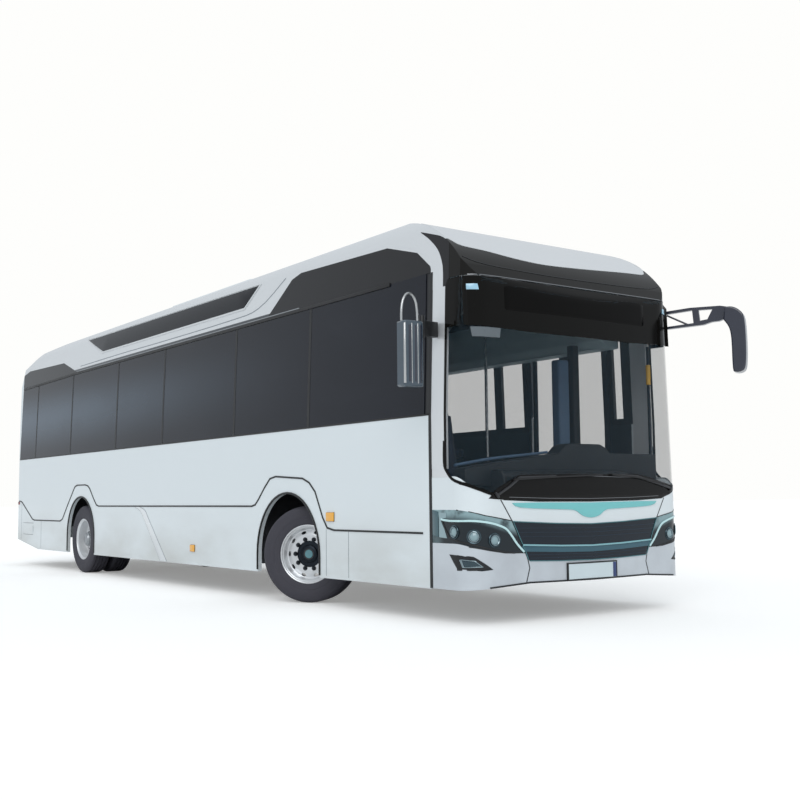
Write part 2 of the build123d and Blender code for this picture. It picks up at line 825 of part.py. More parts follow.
# Entrance steps behind the front door
step_rise = 190.0
with BuildPart() as steps:
    with BuildSketch(Plane.XZ.offset(-back(door_rear - door_gap))):
        with BuildLine():
            Polyline(
                (step_inner, door_foot_z),
                (step_outer, door_foot_z),
                (step_outer, door_foot_z + floor_thick),
                (step_middle, door_foot_z + floor_thick),
                (step_middle, door_foot_z + step_rise),
                (step_inner + floor_thick, door_foot_z + step_rise),
                (step_inner + floor_thick, cab_floor_z),
                (step_inner, cab_floor_z),
                close=True,
            )
        make_face()
    extrude(amount=door_width - 2 * door_gap)
finish(steps.part, "entrance_steps")

# Chassis: two rails, crossmembers and the outriggers that carry the side walls
rail_share = 0.3137255
rail_x = half_width * rail_share
rail_wide = 90.0
rail_foot_z = 780.0
low_rail_foot_z = 560.0
jack_front = 1400.0
jack_rear = rear_axle_back + 980.0
jack_long = 120.0
jack_deep = 20.0
front_rail_end = -bow_depth + 3 * wall
cross_wide = 100.0
low_cross_half = rail_x + 240.0
low_cross_places = (0.0, 1100.0)
cross_start = front_axle_back + arch_half
cross_stop = rear_axle_back - rear_arch_half
cross_shares = (0.0622, 0.3527, 0.6432, 0.9336)
cross_places = [cross_start + share * (cross_stop - cross_start) for share in cross_shares]
cross_places += [rear_axle_back + 930.0, side_length - 600.0]
deck_foot_z = deck_z - floor_thick
cab_foot_z = cab_floor_z - floor_thick
riser_back = deck_start + floor_thick
with BuildPart() as chassis:
    with BuildSketch(Plane.YZ.offset(-rail_x - rail_wide / 2)):
        with BuildLine():
            Polyline(
                (back(front_rail_end), low_rail_foot_z),
                (back(riser_back + 2 * floor_thick), low_rail_foot_z),
                (back(riser_back + 4 * floor_thick), rail_foot_z),
                (back(deck_end), rail_foot_z),
                (back(deck_end), deck_foot_z),
                (back(riser_back), deck_foot_z),
                (back(riser_back), cab_foot_z),
                (back(front_rail_end), cab_foot_z),
                close=True,
            )
        make_face()
    extrude(amount=rail_wide)
    mirror(about=Plane.YZ)
    with BuildSketch(Plane.XY.offset(low_rail_foot_z)):
        for distance in low_cross_places:
            with Locations((0, back(distance))):
                Rectangle(2 * low_cross_half, cross_wide)
    extrude(amount=cab_foot_z - low_rail_foot_z)
    with BuildSketch(Plane.XY.offset(rail_foot_z + floor_thick)):
        for distance in cross_places:
            with Locations((0, back(distance))):
                Rectangle(2 * (floor_half - floor_clear), cross_wide)
    extrude(amount=deck_foot_z - rail_foot_z - floor_thick)
    # Pads for a jack's head under the rails
    for distance, foot in ((jack_front, low_rail_foot_z), (jack_rear, rail_foot_z)):
        with BuildSketch(Plane.XY.offset(foot)):
            for side in (-1, 1):
                with Locations((side * rail_x, back(distance))):
                    Rectangle(rail_wide, jack_long)
        extrude(amount=-jack_deep)
finish(chassis.part, "chassis_frame")

# Wheel housings: a liner over each wheel, open below and at the arch
liner = 12.0
liner_inner_front = rail_x + 160.0
liner_inner_rear = rail_x + 85.0
liner_clear = 8.0
with BuildPart() as housings:
    for centre, half, inner_x in (
        (front_axle_y, arch_half, liner_inner_front),
        (rear_axle_y, rear_arch_half, liner_inner_rear),
    ):
        for side in (-1, 1):
            outer_x = floor_half - floor_clear
            with BuildSketch(Plane.XY.offset(rail_foot_z - 2 * floor_thick)):
                with Locations((side * (inner_x + outer_x) / 2, centre)):
                    Rectangle(outer_x - inner_x, 2 * (half + liner_clear + liner))
                with Locations((side * (inner_x + liner + outer_x + liner) / 2, centre)):
                    Rectangle(outer_x - inner_x, 2 * (half + liner_clear), mode=Mode.SUBTRACT)
            extrude(amount=deck_foot_z - rail_foot_z + 2 * floor_thick)
finish(housings.part, "wheel_housings")

# Heavy masses, as plain blocks at their real places
battery_half = half_width - 225.0
battery_front = front_axle_back + 1040.0
battery_length = rear_axle_back - 990.0 - battery_front
battery_foot_z = 330.0
with BuildPart() as battery:
    with BuildSketch(Plane.XY.offset(battery_foot_z)):
        with Locations((0, back(battery_front + battery_length / 2))):
            RectangleRounded(2 * battery_half, battery_length, overrun)
    extrude(amount=rail_foot_z - battery_foot_z)
finish(battery.part, "battery_pack")

motor_radius = 230.0
motor_length = 700.0
motor_back = side_length - 1450.0
motor_z = 640.0
with BuildPart() as motor:
    with BuildSketch(Plane.XZ.offset(-back(motor_back - motor_length / 2))):
        with Locations((0, motor_z)):
            Circle(motor_radius)
        with Locations((0, (motor_z + rail_foot_z + floor_thick) / 2)):
            Rectangle(2 * (rail_x - rail_wide / 2), rail_foot_z + floor_thick - motor_z)
    extrude(amount=-motor_length)
finish(motor.part, "drive_motor")

# Axles
beam_radius = 55.0
beam_drop = 90.0
kingpin_radius = 28.0
kingpin_half = 130.0
eye_half = 60.0
eye_room = 10.0
eye_edge = kingpin_x - 2 * kingpin_radius - eye_room
pad_length = 160.0
with BuildPart() as front_axle:
    with BuildSketch(Plane.XZ.offset(-front_axle_y + beam_radius)):
        with BuildLine():
            Polyline(
                (-kingpin_x, axle_z - eye_half),
                (-eye_edge, axle_z - eye_half),
                (-rail_x - rail_wide, axle_z - beam_drop - beam_radius),
                (rail_x + rail_wide, axle_z - beam_drop - beam_radius),
                (eye_edge, axle_z - eye_half),
                (kingpin_x, axle_z - eye_half),
                (kingpin_x, axle_z + eye_half),
                (eye_edge, axle_z + eye_half),
                (rail_x + rail_wide, axle_z - beam_drop + beam_radius),
                (-rail_x - rail_wide, axle_z - beam_drop + beam_radius),
                (-eye_edge, axle_z + eye_half),
                (-kingpin_x, axle_z + eye_half),
                close=True,
            )
        make_face()
    extrude(amount=-2 * beam_radius)
    with BuildSketch(Plane.XY.offset(axle_z - eye_half)):
        for side in (-1, 1):
            with Locations((side * kingpin_x, front_axle_y)):
                Circle(2 * kingpin_radius)
    extrude(amount=2 * eye_half)
    with BuildSketch(Plane.XY.offset(axle_z - beam_drop + beam_radius)):
        for side in (-1, 1):
            with Locations((side * rail_x, front_axle_y)):
                Rectangle(rail_wide, pad_length)
    extrude(amount=rail_foot_z - axle_z + beam_drop - beam_radius)
    with BuildSketch(Plane.XY.offset(axle_z - kingpin_half)):
        for side in (-1, 1):
            with Locations((side * kingpin_x, front_axle_y)):
                Circle(kingpin_radius)
    extrude(amount=2 * kingpin_half)
finish(front_axle.part, "front_axle")

diff_radius = 190.0
rear_tube_radius = 80.0
twin_spread = tyre_width + twin_gap
twin_inner_x = wheel_x - twin_spread
twin_clear = 40.0
rear_tube_half = twin_inner_x - tyre_width / 2 - twin_clear
hub_cap_out = 95.0
spindle_radius = 55.0
spindle_end = wheel_x + hub_cap_out / 2
with BuildPart() as rear_axle:
    with BuildSketch(Plane.XZ.offset(-rear_axle_y)):
        with BuildLine():
            Polyline(
                (0, axle_z - diff_radius),
                (diff_radius / 2, axle_z - diff_radius),
                (diff_radius, axle_z - rear_tube_radius),
                (rear_tube_half, axle_z - rear_tube_radius),
                (rear_tube_half, axle_z - spindle_radius),
                (spindle_end, axle_z - spindle_radius),
                (spindle_end, axle_z),
                (0, axle_z),
                close=True,
            )
        make_face()
    revolve(axis=Axis((0, rear_axle_y, axle_z), (1, 0, 0)))
    mirror(about=Plane.YZ)
    with BuildSketch(Plane.XY.offset(axle_z)):
        for side in (-1, 1):
            with Locations((side * rail_x, rear_axle_y)):
                Rectangle(rail_wide, pad_length)
    extrude(amount=rail_foot_z - axle_z)
finish(rear_axle.part, "rear_axle")


def wheel_plane(side):
    """Plane of a turned front wheel's kingpin, its Z along the wheel's axle, outwards."""
    turn = radians(steer_rest)
    return Plane(
        origin=(side * kingpin_x, front_axle_y, axle_z),
        x_dir=(side * sin(turn), -side * cos(turn), 0),
        z_dir=(side * cos(turn), side * sin(turn), 0),
    )


def rear_plane(side):
    """Plane of a rear axle end, its Z along the axle, outwards, at the outer wheel's middle."""
    return Plane(origin=(side * wheel_x, rear_axle_y, axle_z), x_dir=(0, -side, 0), z_dir=(side, 0, 0))


tyre_shoulder = 36.0
tyre_bead = 24.0
rim_wall = 9.0
disc_thick = 14.0
front_disc_out = 60.0
rear_disc_out = 20.0
hub_cap_radius = 105.0
tyre_profile = (
    (rim_seat, -tyre_width / 2 + tyre_bead),
    (rim_radius, -tyre_width / 2 + tyre_bead / 2),
    ((rim_radius + tyre_radius) / 2, -tyre_width / 2),
    (tyre_radius - tyre_shoulder, -tyre_width / 2 + tyre_bead / 2),
    (tyre_radius, -tyre_width / 2 + tyre_shoulder),
    (tyre_radius, tyre_width / 2 - tyre_shoulder),
    (tyre_radius - tyre_shoulder, tyre_width / 2 - tyre_bead / 2),
    ((rim_radius + tyre_radius) / 2, tyre_width / 2),
    (rim_radius, tyre_width / 2 - tyre_bead / 2),
    (rim_seat, tyre_width / 2 - tyre_bead),
)


def rim_profile(disc_out):
    """Half section of a disc wheel: flanges, well and a disc at disc_out from the middle."""
    edge = tyre_width / 2 - tyre_bead
    return (
        (spindle_radius + fit, disc_out - disc_thick),
        (rim_seat - 2 * rim_wall, disc_out - disc_thick),
        (rim_seat - 2 * rim_wall, -edge),
        (rim_seat - fit, -edge),
        (rim_seat - fit, edge),
        (rim_seat - 2 * rim_wall, edge),
        (rim_seat - 2 * rim_wall, disc_out),
        (hub_cap_radius, disc_out),
        (hub_cap_radius, hub_cap_out),
        (spindle_radius + fit, hub_cap_out),
    )


for side, name in ((-1, "right"), (1, "left")):
    spun = wheel_plane(side)
    wheel_axis = Axis(spun.origin, spun.z_dir)
    half_section = Plane(origin=spun.origin, x_dir=spun.x_dir, z_dir=-spun.y_dir)
    with BuildPart() as tyre:
        with BuildSketch(half_section):
            with BuildLine():
                Polyline(*[(r, w + kingpin_offset) for r, w in tyre_profile], close=True)
            make_face()
        revolve(axis=wheel_axis)
    finish(tyre.part, f"tyre_front_{name}")
    with BuildPart() as rim:
        with BuildSketch(half_section):
            with BuildLine():
                Polyline(*[(r, w + kingpin_offset) for r, w in rim_profile(front_disc_out)], close=True)
            make_face()
        revolve(axis=wheel_axis)
    finish(rim.part, f"rim_front_{name}")
    # Knuckle: a fork over and under the beam's eye, with the spindle through the wheel
    with BuildPart() as knuckle:
        with BuildSketch(Plane.XY.offset(axle_z - kingpin_half)):
            with Locations((side * kingpin_x, front_axle_y)):
                Circle(2 * kingpin_radius)
        extrude(amount=2 * kingpin_half)
        with BuildSketch(spun.offset(kingpin_radius)):
            Rectangle(4 * kingpin_radius, 2 * kingpin_half)
        extrude(amount=kingpin_offset - tyre_width / 2)
        with BuildSketch(spun.offset(kingpin_radius)):
            Circle(spindle_radius)
        extrude(amount=kingpin_offset + hub_cap_out - kingpin_radius)
        with BuildSketch(Plane.XY.offset(axle_z - eye_half - floor_clear)):
            with Locations((side * kingpin_x, front_axle_y)):
                Circle(2 * kingpin_radius + eye_room)
        extrude(amount=2 * (eye_half + floor_clear), mode=Mode.SUBTRACT)
        with BuildSketch(Plane.XY.offset(axle_z - kingpin_half)):
            with Locations((side * kingpin_x, front_axle_y)):
                Circle(kingpin_radius + fit)
        extrude(amount=2 * kingpin_half, mode=Mode.SUBTRACT)
    finish(knuckle.part, f"knuckle_{name}")
    # Twin rear wheels: the inner one faces the other way
    outer_end = rear_plane(side)
    twin_axis = Axis(outer_end.origin, outer_end.z_dir)
    twin_section = Plane(origin=outer_end.origin, x_dir=outer_end.x_dir, z_dir=-outer_end.y_dir)
    with BuildPart() as twin_tyres:
        with BuildSketch(twin_section):
            for shift in (0, -twin_spread):
                with BuildLine():
                    Polyline(*[(r, w + shift) for r, w in tyre_profile], close=True)
                make_face()
        revolve(axis=twin_axis)
    finish(twin_tyres.part, f"tyres_rear_{name}")
    with BuildPart() as twin_rims:
        with BuildSketch(twin_section):
            with BuildLine():
                Polyline(*rim_profile(-rear_disc_out), close=True)
            make_face()
            with BuildLine():
                Polyline(*[(r, -w - twin_spread) for r, w in rim_profile(rear_disc_out)], close=True)
            make_face()
        revolve(axis=twin_axis)
    finish(twin_rims.part, f"rims_rear_{name}")

# Dashboard, across the cab behind the screen, with a binnacle before the driver
dash_half = half_width - 375.0
dash_front = 110.0 - bow_depth
dash_rear = -90.0
dash_foot_z = 1000.0
dash_top_z = 1180.0
dash_drop = 110.0
binnacle_z = 1290.0
binnacle_half = 330.0
binnacle_top_share = 0.8
driver_x = 715.0 - half_width
dash_leg = 60.0
with BuildPart() as dash:
    with BuildSketch(Plane.YZ.offset(-dash_half)):
        with BuildLine():
            Polyline(
                (back(dash_front), cab_floor_z),
                (back(dash_front + dash_leg), cab_floor_z),
                (back(dash_front + 2 * dash_leg), dash_foot_z),
                (back(dash_rear), dash_foot_z),
                (back(dash_rear), dash_top_z - dash_drop),
                (back(dash_rear - dash_leg), dash_top_z),
                (back(dash_front), dash_top_z),
                close=True,
            )
        make_face()
    extrude(amount=dash_half + step_inner - dash_leg)
    with BuildSketch(Plane.XZ.offset(-back(dash_front + dash_leg / 2))):
        with BuildLine():
            Polyline(
                (driver_x - binnacle_half, dash_top_z - dash_leg),
                (driver_x + binnacle_half, dash_top_z - dash_leg),
                (driver_x + binnacle_half * binnacle_top_share, binnacle_z),
                (driver_x - binnacle_half * binnacle_top_share, binnacle_z),
                close=True,
            )
        make_face()
    extrude(amount=-(dash_rear - dash_front - 2 * dash_leg))
finish(dash.part, "dashboard")

# Steering wheel and its column, leaning back towards the driver
wheel_tilt = 35.0
steering_ratio = 17.0
wheel_radius = 230.0
wheel_grip = 15.0
grip_sides = 8
column_radius = 30.0
wheel_back = 190.0
wheel_hub_z = 1240.0
hub_disc = 25.0
spoke_wide = 34.0
spokes = 3
column_plane = Plane(
    origin=(driver_x, back(wheel_back), wheel_hub_z),
    x_dir=(1, 0, 0),
    z_dir=(0, sin(radians(wheel_tilt)), cos(radians(wheel_tilt))),
)
column_length = (wheel_hub_z - cab_floor_z) / cos(radians(wheel_tilt))
with BuildPart() as steering_wheel:
    with BuildSketch(Plane(origin=column_plane.origin, x_dir=(1, 0, 0), z_dir=-column_plane.y_dir)):
        with Locations((wheel_radius, 0)):
            RegularPolygon(wheel_grip, grip_sides)
    revolve(axis=Axis(column_plane.origin, column_plane.z_dir))
    with BuildSketch(column_plane.offset(-hub_disc / 2)):
        Circle(2 * column_radius)
        with PolarLocations(wheel_radius / 2, spokes, start_angle=steer_rest * steering_ratio - 90):
            Rectangle(wheel_radius, spoke_wide)
    extrude(amount=hub_disc)
finish(steering_wheel.part, "steering_wheel")
with BuildPart() as column:
    with BuildSketch(column_plane.offset(-hub_disc / 2 - fit)):
        Circle(column_radius)
    extrude(amount=-column_length)
    with BuildSketch(Plane.XY.offset(cab_floor_z)):
        Rectangle(4 * half_width, 3 * side_length)
    extrude(amount=-column_length, mode=Mode.SUBTRACT)
finish(column.part, "steering_column")


def seat_section(front, floor):
    """Side outline of a seat: cushion, back and base, from its front edge and floor."""
    return (
        (front + seat_base_in, floor),
        (front + seat_depth - seat_base_short, floor),
        (front + seat_depth - seat_base_short, floor + seat_height - seat_cushion),
        (front + seat_depth + seat_lean, floor + seat_height + seat_back),
        (front + seat_depth + seat_lean - seat_back_thick, floor + seat_height + seat_back),
        (front + seat_depth - seat_back_thick, floor + seat_height),
        (front, floor + seat_height),
        (front, floor + seat_height - seat_cushion),
        (front + seat_base_in, floor + seat_height - seat_cushion),
    )


# Seats: the driver's, and double seats along both sides of the aisle
seat_depth = 480.0
seat_base_in = 60.0
seat_base_short = 40.0
seat_height = 450.0
seat_cushion = 110.0
seat_back = 700.0
seat_lean = 130.0
seat_back_thick = 110.0
driver_seat_back = 420.0
driver_seat_width = 500.0
double_seat_width = 880.0
seat_wall_gap = 25.0
seat_rows = 10
first_seat_back = 2500.0
last_seat_back = side_length - 1800.0
seat_pitch = (last_seat_back - first_seat_back) / (seat_rows - 1)
with BuildPart() as driver_seat:
    with BuildSketch(Plane.YZ.offset(driver_x - driver_seat_width / 2)):
        with BuildLine():
            Polyline(*seat_section(back(driver_seat_back), cab_floor_z), close=True)
        make_face()
    extrude(amount=driver_seat_width)
finish(driver_seat.part, "driver_seat")
seat_x = floor_half - upper_lean - seat_wall_gap
with BuildPart() as seats:
    for side in (-1, 1):
        with BuildSketch(Plane.YZ.offset(side * seat_x)):
            for row in range(seat_rows):
                with BuildLine():
                    Polyline(*seat_section(back(first_seat_back + row * seat_pitch), deck_z), close=True)
                make_face()
        extrude(amount=-side * double_seat_width)
finish(seats.part, "passenger_seats")

# Handrails: posts between cab floor or deck and roof, behind the driver and at the door
post_radius = 16.0
posts = (
    (-150.0, 1300.0, cab_floor_z),
    (225.0 - half_width, 1300.0, cab_floor_z),
    (half_width - 655.0, 1480.0, cab_floor_z),
)
with BuildPart() as rails:
    for across, distance, foot in posts:
        with BuildSketch(Plane.XY.offset(foot)):
            with Locations((across, back(distance))):
                Circle(post_radius)
        extrude(amount=crown_z + overrun - foot)
    add(outer, mode=Mode.INTERSECT)
    add(whole_wall, mode=Mode.SUBTRACT)
finish(rails.part, "handrails")

# Destination display, behind the top of the screen
display_half = half_width - 455.0
display_foot_z = drip_z - 360.0
display_height = 205.0
display_deep = 80.0
display_back = 2 * wall
with BuildPart() as display:
    with BuildSketch(Plane.XZ.offset(-back(-bow_depth + display_back))):
        with Locations((0, display_foot_z + display_height / 2)):
            RectangleRounded(2 * display_half, display_height, wall / 2)
    extrude(amount=-display_deep)
    with BuildSketch(Plane.XY.offset(display_foot_z + display_height)):
        for side in (-1, 1):
            with Locations((side * display_half / 2, back(-bow_depth + display_back + display_deep / 2))):
                Rectangle(display_deep / 2, display_deep / 2)
    extrude(amount=crown_z - display_foot_z)
    add(inner, mode=Mode.INTERSECT)
finish(display.part, "destination_display")

# Form just clear of the body, which trims what sits on the outside
seat_form = body_form(-fit)

# Number plate, blank, on the bumper
plate_half = 285.0
plate_foot_z = 335.0
plate_height = 130.0
plate_thick = 12.0
with BuildPart() as plate:
    with BuildSketch(Plane.XZ.offset(-back(-nose_length + wall))):
        with Locations((0, plate_foot_z + plate_height / 2)):
            RectangleRounded(2 * plate_half, plate_height, plate_thick / 2)
    extrude(amount=wall + plate_thick)
    add(seat_form, mode=Mode.SUBTRACT)
finish(plate.part, "number_plate")

# Wipers: two pivots at the screen's lower corners, arms rising to blades that lie along its foot
wiper_thick = 24.0
wiper_out = 40.0
wiper_paths = (
    ((235.0 - half_width, 1040.0), (-790.0, 1190.0), (140.0, 1215.0)),
    ((half_width - 175.0, 1095.0), (600.0, 1205.0), (330.0, 1215.0)),
)
with BuildPart() as wipers:
    for path in wiper_paths:
        with BuildSketch(Plane.XZ.offset(-back(-bow_depth + 2 * glass))):
            with Locations(path[0]):
                Circle(wiper_thick)
        extrude(amount=nose_length - bow_depth + wiper_out)
        with BuildSketch(Plane.XZ.offset(-back(-nose_length - wiper_out / 2))):
            with BuildLine():
                Polyline(
                    *[(across, height - wiper_thick / 2) for across, height in path],
                    *[(across, height + wiper_thick / 2) for across, height in reversed(path)],
                    close=True,
                )
            make_face()
        extrude(amount=wiper_thick / 2)
    add(seat_form, mode=Mode.SUBTRACT)
finish(wipers.part, "wipers")

# Mirrors: a lattice arm and a hanging head on the left, a short arm and head on the right
arm_bar = 26.0
arm_thick = 30.0
arm_window_rise = 39.0
head_round = 40.0
head_wide = 200.0
head_deep = 130.0
mirror_rows = (
    # name, side, arm start and end (out from the side wall, back), arm foot and height, head foot and height
    ("left", 1, (-50.0, -70.0), (425.0, -865.0), 2610.0, 150.0, 2170.0, 540.0),
    ("right", -1, (-50.0, -90.0), (355.0, -230.0), 2390.0, 90.0, 1920.0, 550.0),
)
for name, side, start, end, arm_foot, arm_height, head_foot, head_height in mirror_rows:
    along_x = side * (end[0] - start[0])
    along_y = end[1] - start[1]
    span = (along_x**2 + along_y**2) ** 0.5
    arm_plane = Plane(
        origin=(side * (half_width + start[0]), back(start[1]), arm_foot),
        x_dir=(along_x, along_y, 0),
        z_dir=(along_y, -along_x, 0),
    )
    with BuildPart() as mirror_piece:
        with BuildSketch(arm_plane):
            with BuildLine():
                Polyline((0, 0), (span, arm_height / 3), (span, arm_height), (0, arm_height), close=True)
            make_face()
            with BuildLine():
                Polyline(
                    (2 * arm_bar, arm_window_rise),
                    (span - 2 * arm_bar, arm_height - arm_bar),
                    (2 * arm_bar, arm_height - arm_bar),
                    close=True,
                )
            make_face(mode=Mode.SUBTRACT)
        extrude(amount=arm_thick / 2, both=True)
        with BuildSketch(Plane.XY.offset(head_foot)):
            with Locations((side * (half_width + end[0]), back(end[1]))):
                RectangleRounded(head_wide, head_deep, head_round)
        extrude(amount=head_height)
        add(seat_form, mode=Mode.SUBTRACT)
    finish(mirror_piece.part, f"mirror_{name}")

# Roof unit for cooling and heating, standing on the crown
pod_half = half_width - 425.0
pod_front = hatch_places[0][1] + hatch_length / 2 + 950.0
pod_rear = hatch_places[1][1] - hatch_length / 2 - 1150.0
pod_length = pod_rear - pod_front
pod_top_z = crown_z + 100.0
pod_edge = 60.0
with BuildPart() as pod:
    with BuildSketch(Plane.XY.offset(crown_z - wall)):
        with Locations((0, back((pod_front + pod_rear) / 2))):
            RectangleRounded(2 * pod_half, pod_length, 2 * pod_edge)
    extrude(amount=pod_top_z - crown_z + wall)
    chamfer(pod.faces().sort_by(Axis.Z)[-1].edges(), pod_edge)
    add(seat_form, mode=Mode.SUBTRACT)
finish(pod.part, "roof_unit")
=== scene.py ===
"""Looks of an electric coach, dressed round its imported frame.

Metres. +Z is up, the front looks along -Y and the coach's right side is at -X.
Places along the coach are distances back from the front seam, as on the coach's own drawing.
"""

import json
import math

import bpy
from mathutils import Euler, Matrix, Vector


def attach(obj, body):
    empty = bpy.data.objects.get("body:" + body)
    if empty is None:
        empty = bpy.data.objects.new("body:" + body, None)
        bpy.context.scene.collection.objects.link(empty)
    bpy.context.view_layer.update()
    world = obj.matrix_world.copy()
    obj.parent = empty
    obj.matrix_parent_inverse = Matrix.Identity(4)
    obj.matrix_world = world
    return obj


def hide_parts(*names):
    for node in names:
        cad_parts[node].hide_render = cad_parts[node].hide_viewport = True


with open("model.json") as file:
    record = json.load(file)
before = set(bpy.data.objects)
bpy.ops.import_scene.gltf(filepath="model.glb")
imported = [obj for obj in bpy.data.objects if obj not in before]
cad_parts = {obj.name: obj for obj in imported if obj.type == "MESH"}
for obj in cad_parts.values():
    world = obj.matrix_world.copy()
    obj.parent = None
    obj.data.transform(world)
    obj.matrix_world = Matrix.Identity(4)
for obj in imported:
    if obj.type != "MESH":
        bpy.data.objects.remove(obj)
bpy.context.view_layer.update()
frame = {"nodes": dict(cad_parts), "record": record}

SEAM = -5.3
BODY = "coach_body"


def back(distance):
    """Row place of a distance back from the front seam."""
    return SEAM + distance


# Camera, at the photograph's viewing angle
CAMERA_PLACE = Vector((-6.86, back(-7.324), 1.032))
CAMERA_YAW, CAMERA_PITCH, CAMERA_ROLL = (math.radians(turn) for turn in (35.82, 5.116, -0.559))
CAMERA_LENS = 49.26


def add_camera():
    """The camera, from its heading off +Y, its tilt up and its roll."""
    ahead = Vector(
        (
            math.sin(CAMERA_YAW) * math.cos(CAMERA_PITCH),
            math.cos(CAMERA_YAW) * math.cos(CAMERA_PITCH),
            math.sin(CAMERA_PITCH),
        )
    )
    level = Vector((math.cos(CAMERA_YAW), -math.sin(CAMERA_YAW), 0))
    over = level.cross(ahead)
    right = level * math.cos(CAMERA_ROLL) + over * math.sin(CAMERA_ROLL)
    top = over * math.cos(CAMERA_ROLL) - level * math.sin(CAMERA_ROLL)
    data = bpy.data.cameras.new("camera")
    data.lens = CAMERA_LENS
    data.sensor_width = 36
    data.clip_end = 200
    camera = bpy.data.objects.new("camera", data)
    turn = Matrix((right, top, -ahead)).transposed()
    camera.matrix_world = Matrix.Translation(CAMERA_PLACE) @ turn.to_4x4()
    bpy.context.collection.objects.link(camera)
    bpy.context.scene.camera = camera


add_camera()


# Shader graphs, written as expressions
class Value:
    """An output of a finish's graph. Python's operators on it add Math nodes."""

    def __init__(self, finish, link):
        self.finish = finish
        self.link = link

    def maths(self, operation, *others):
        return self.finish.add("ShaderNodeMath", {"operation": operation}, self, *others)

    def __add__(self, other):
        return self.maths("ADD", other)

    __radd__ = __add__

    def __sub__(self, other):
        return self.maths("SUBTRACT", other)

    def __rsub__(self, other):
        return self.finish.add("ShaderNodeMath", {"operation": "SUBTRACT"}, other, self)

    def __mul__(self, other):
        return self.maths("MULTIPLY", other)

    __rmul__ = __mul__

    def __truediv__(self, other):
        return self.maths("DIVIDE", other)

    def __gt__(self, other):
        return self.maths("GREATER_THAN", other)

    def __lt__(self, other):
        return self.maths("LESS_THAN", other)

    def ramp(self, low, high):
        """0 below low, 1 above high, smooth between."""
        settings = {"interpolation_type": "SMOOTHSTEP"}
        return self.finish.add("ShaderNodeMapRange", settings, self, low, high)


class Finish:
    """A material, its graph and the methods that add to it."""

    def __init__(self, name, colour, roughness, **sockets):
        self.material = bpy.data.materials.new(name)
        self.material.use_nodes = True
        self.tree = self.material.node_tree
        self.tree.nodes.clear()
        self.shader = self.tree.nodes.new("ShaderNodeBsdfPrincipled")
        self.output = self.tree.nodes.new("ShaderNodeOutputMaterial")
        self.tree.links.new(self.shader.outputs[0], self.output.inputs["Surface"])
        self.set("Base Color", colour)
        self.set("Roughness", roughness)
        for name, value in sockets.items():
            self.set(name.replace("_", " "), value)

    def feed(self, socket, value):
        """Links a value to a socket, or sets the socket to a number or a colour."""
        if isinstance(value, Value):
            self.tree.links.new(value.link, socket)
        elif value is not None:
            plain = len(value) if hasattr(value, "__len__") else 0
            socket.default_value = (*value, 1.0) if plain == 3 and socket.type == "RGBA" else value

    def add(self, kind, settings, *inputs, out=0):
        """A node of that kind, its settings made first, its inputs fed in order."""
        node = self.tree.nodes.new(kind)
        for name, value in settings.items():
            setattr(node, name, value)
        for socket, value in zip(node.inputs, inputs):
            self.feed(socket, value)
        return Value(self, node.outputs[out])

    def set(self, name, value):
        """Feeds an input of the finish's own shader."""
        self.feed(self.shader.inputs[name], value)

    def place(self):
        """The surface's Object coordinates."""
        return self.add("ShaderNodeTexCoord", {}, out=3)

    def axes(self):
        """The surface's X, Y and Z."""
        split = self.add("ShaderNodeSeparateXYZ", {}, self.place())
        outputs = split.link.node.outputs
        return tuple(Value(self, outputs[name]) for name in "XYZ")

    def noise(self, scale, detail=3.0, stretch=None):
        """Cloudy variation, finer as the scale grows."""
        where = self.place()
        if stretch:
            where = self.add("ShaderNodeMapping", {}, where, None, None, stretch)
        return self.add("ShaderNodeTexNoise", {}, where, None, scale, detail)

    def blend(self, share, first, second):
        """A colour between two."""
        node = self.tree.nodes.new("ShaderNodeMix")
        node.data_type = "RGBA"
        self.feed(node.inputs["Factor"], share)
        self.feed(node.inputs[6], first)
        self.feed(node.inputs[7], second)
        return Value(self, node.outputs[2])

    def bump(self, height, distance, strength=1.0):
        """Raises the surface by a height."""
        node = self.tree.nodes.new("ShaderNodeBump")
        self.feed(node.inputs["Strength"], strength)
        self.feed(node.inputs["Distance"], distance)
        self.feed(node.inputs["Height"], height)
        self.set("Normal", Value(self, node.outputs[0]))


def shade(hexed):
    """Linear colour of a written screen colour."""
    parts = [int(hexed[i : i + 2], 16) / 255 for i in (0, 2, 4)]
    return tuple(c / 12.92 if c <= 0.04045 else ((c + 0.055) / 1.055) ** 2.4 for c in parts)


# The walls' inner faces lie within this of the middle, between these places and heights
LINING_REACH = 1.262
LINING_START, LINING_END = -5.28, 5.8
LINING_LOW, LINING_HIGH = 1.2, 3.0


def paint(name, colour, dust_and_shade, roughness=0.32, metal=0.0, coat=0.6, lined=False):
    """Sprayed paint under a clear coat, with clouds of a second colour low down and a faint orange peel:
    the second colour is road dust on the body, and painted shade on the bumper, darker towards its lower
    edge.

    A lined finish is dark trim behind the walls' outer millimetres, between the deck and the roof.
    """
    finish = Finish(name, colour, roughness, Metallic=metal, Coat_Weight=coat, Coat_Roughness=0.06)
    height = finish.axes()[2]
    cloud = finish.noise(2.2, 5.0, (1, 0.35, 1))
    # Clouds of the second colour fading out above 1.1 m: road dust on the body, painted shade on the
    # bumper's lower part
    low = (1 - height.ramp(0.2, 1.1)) * cloud.ramp(0.3, 0.75)
    shown = finish.blend(low * 0.5, colour, dust_and_shade)
    if lined:
        across, along, height = finish.axes()
        within = (across * across < LINING_REACH**2) * (along > LINING_START) * (along < LINING_END)
        within = within * (height > LINING_LOW) * (height < LINING_HIGH)
        shown = finish.blend(within, shown, shade("2B3138"))
    finish.set("Base Color", shown)
    finish.set("Roughness", roughness + low * 0.25 + cloud * 0.06)
    finish.bump(finish.noise(420.0, 2.0), 0.00008, 0.35)
    return finish.material


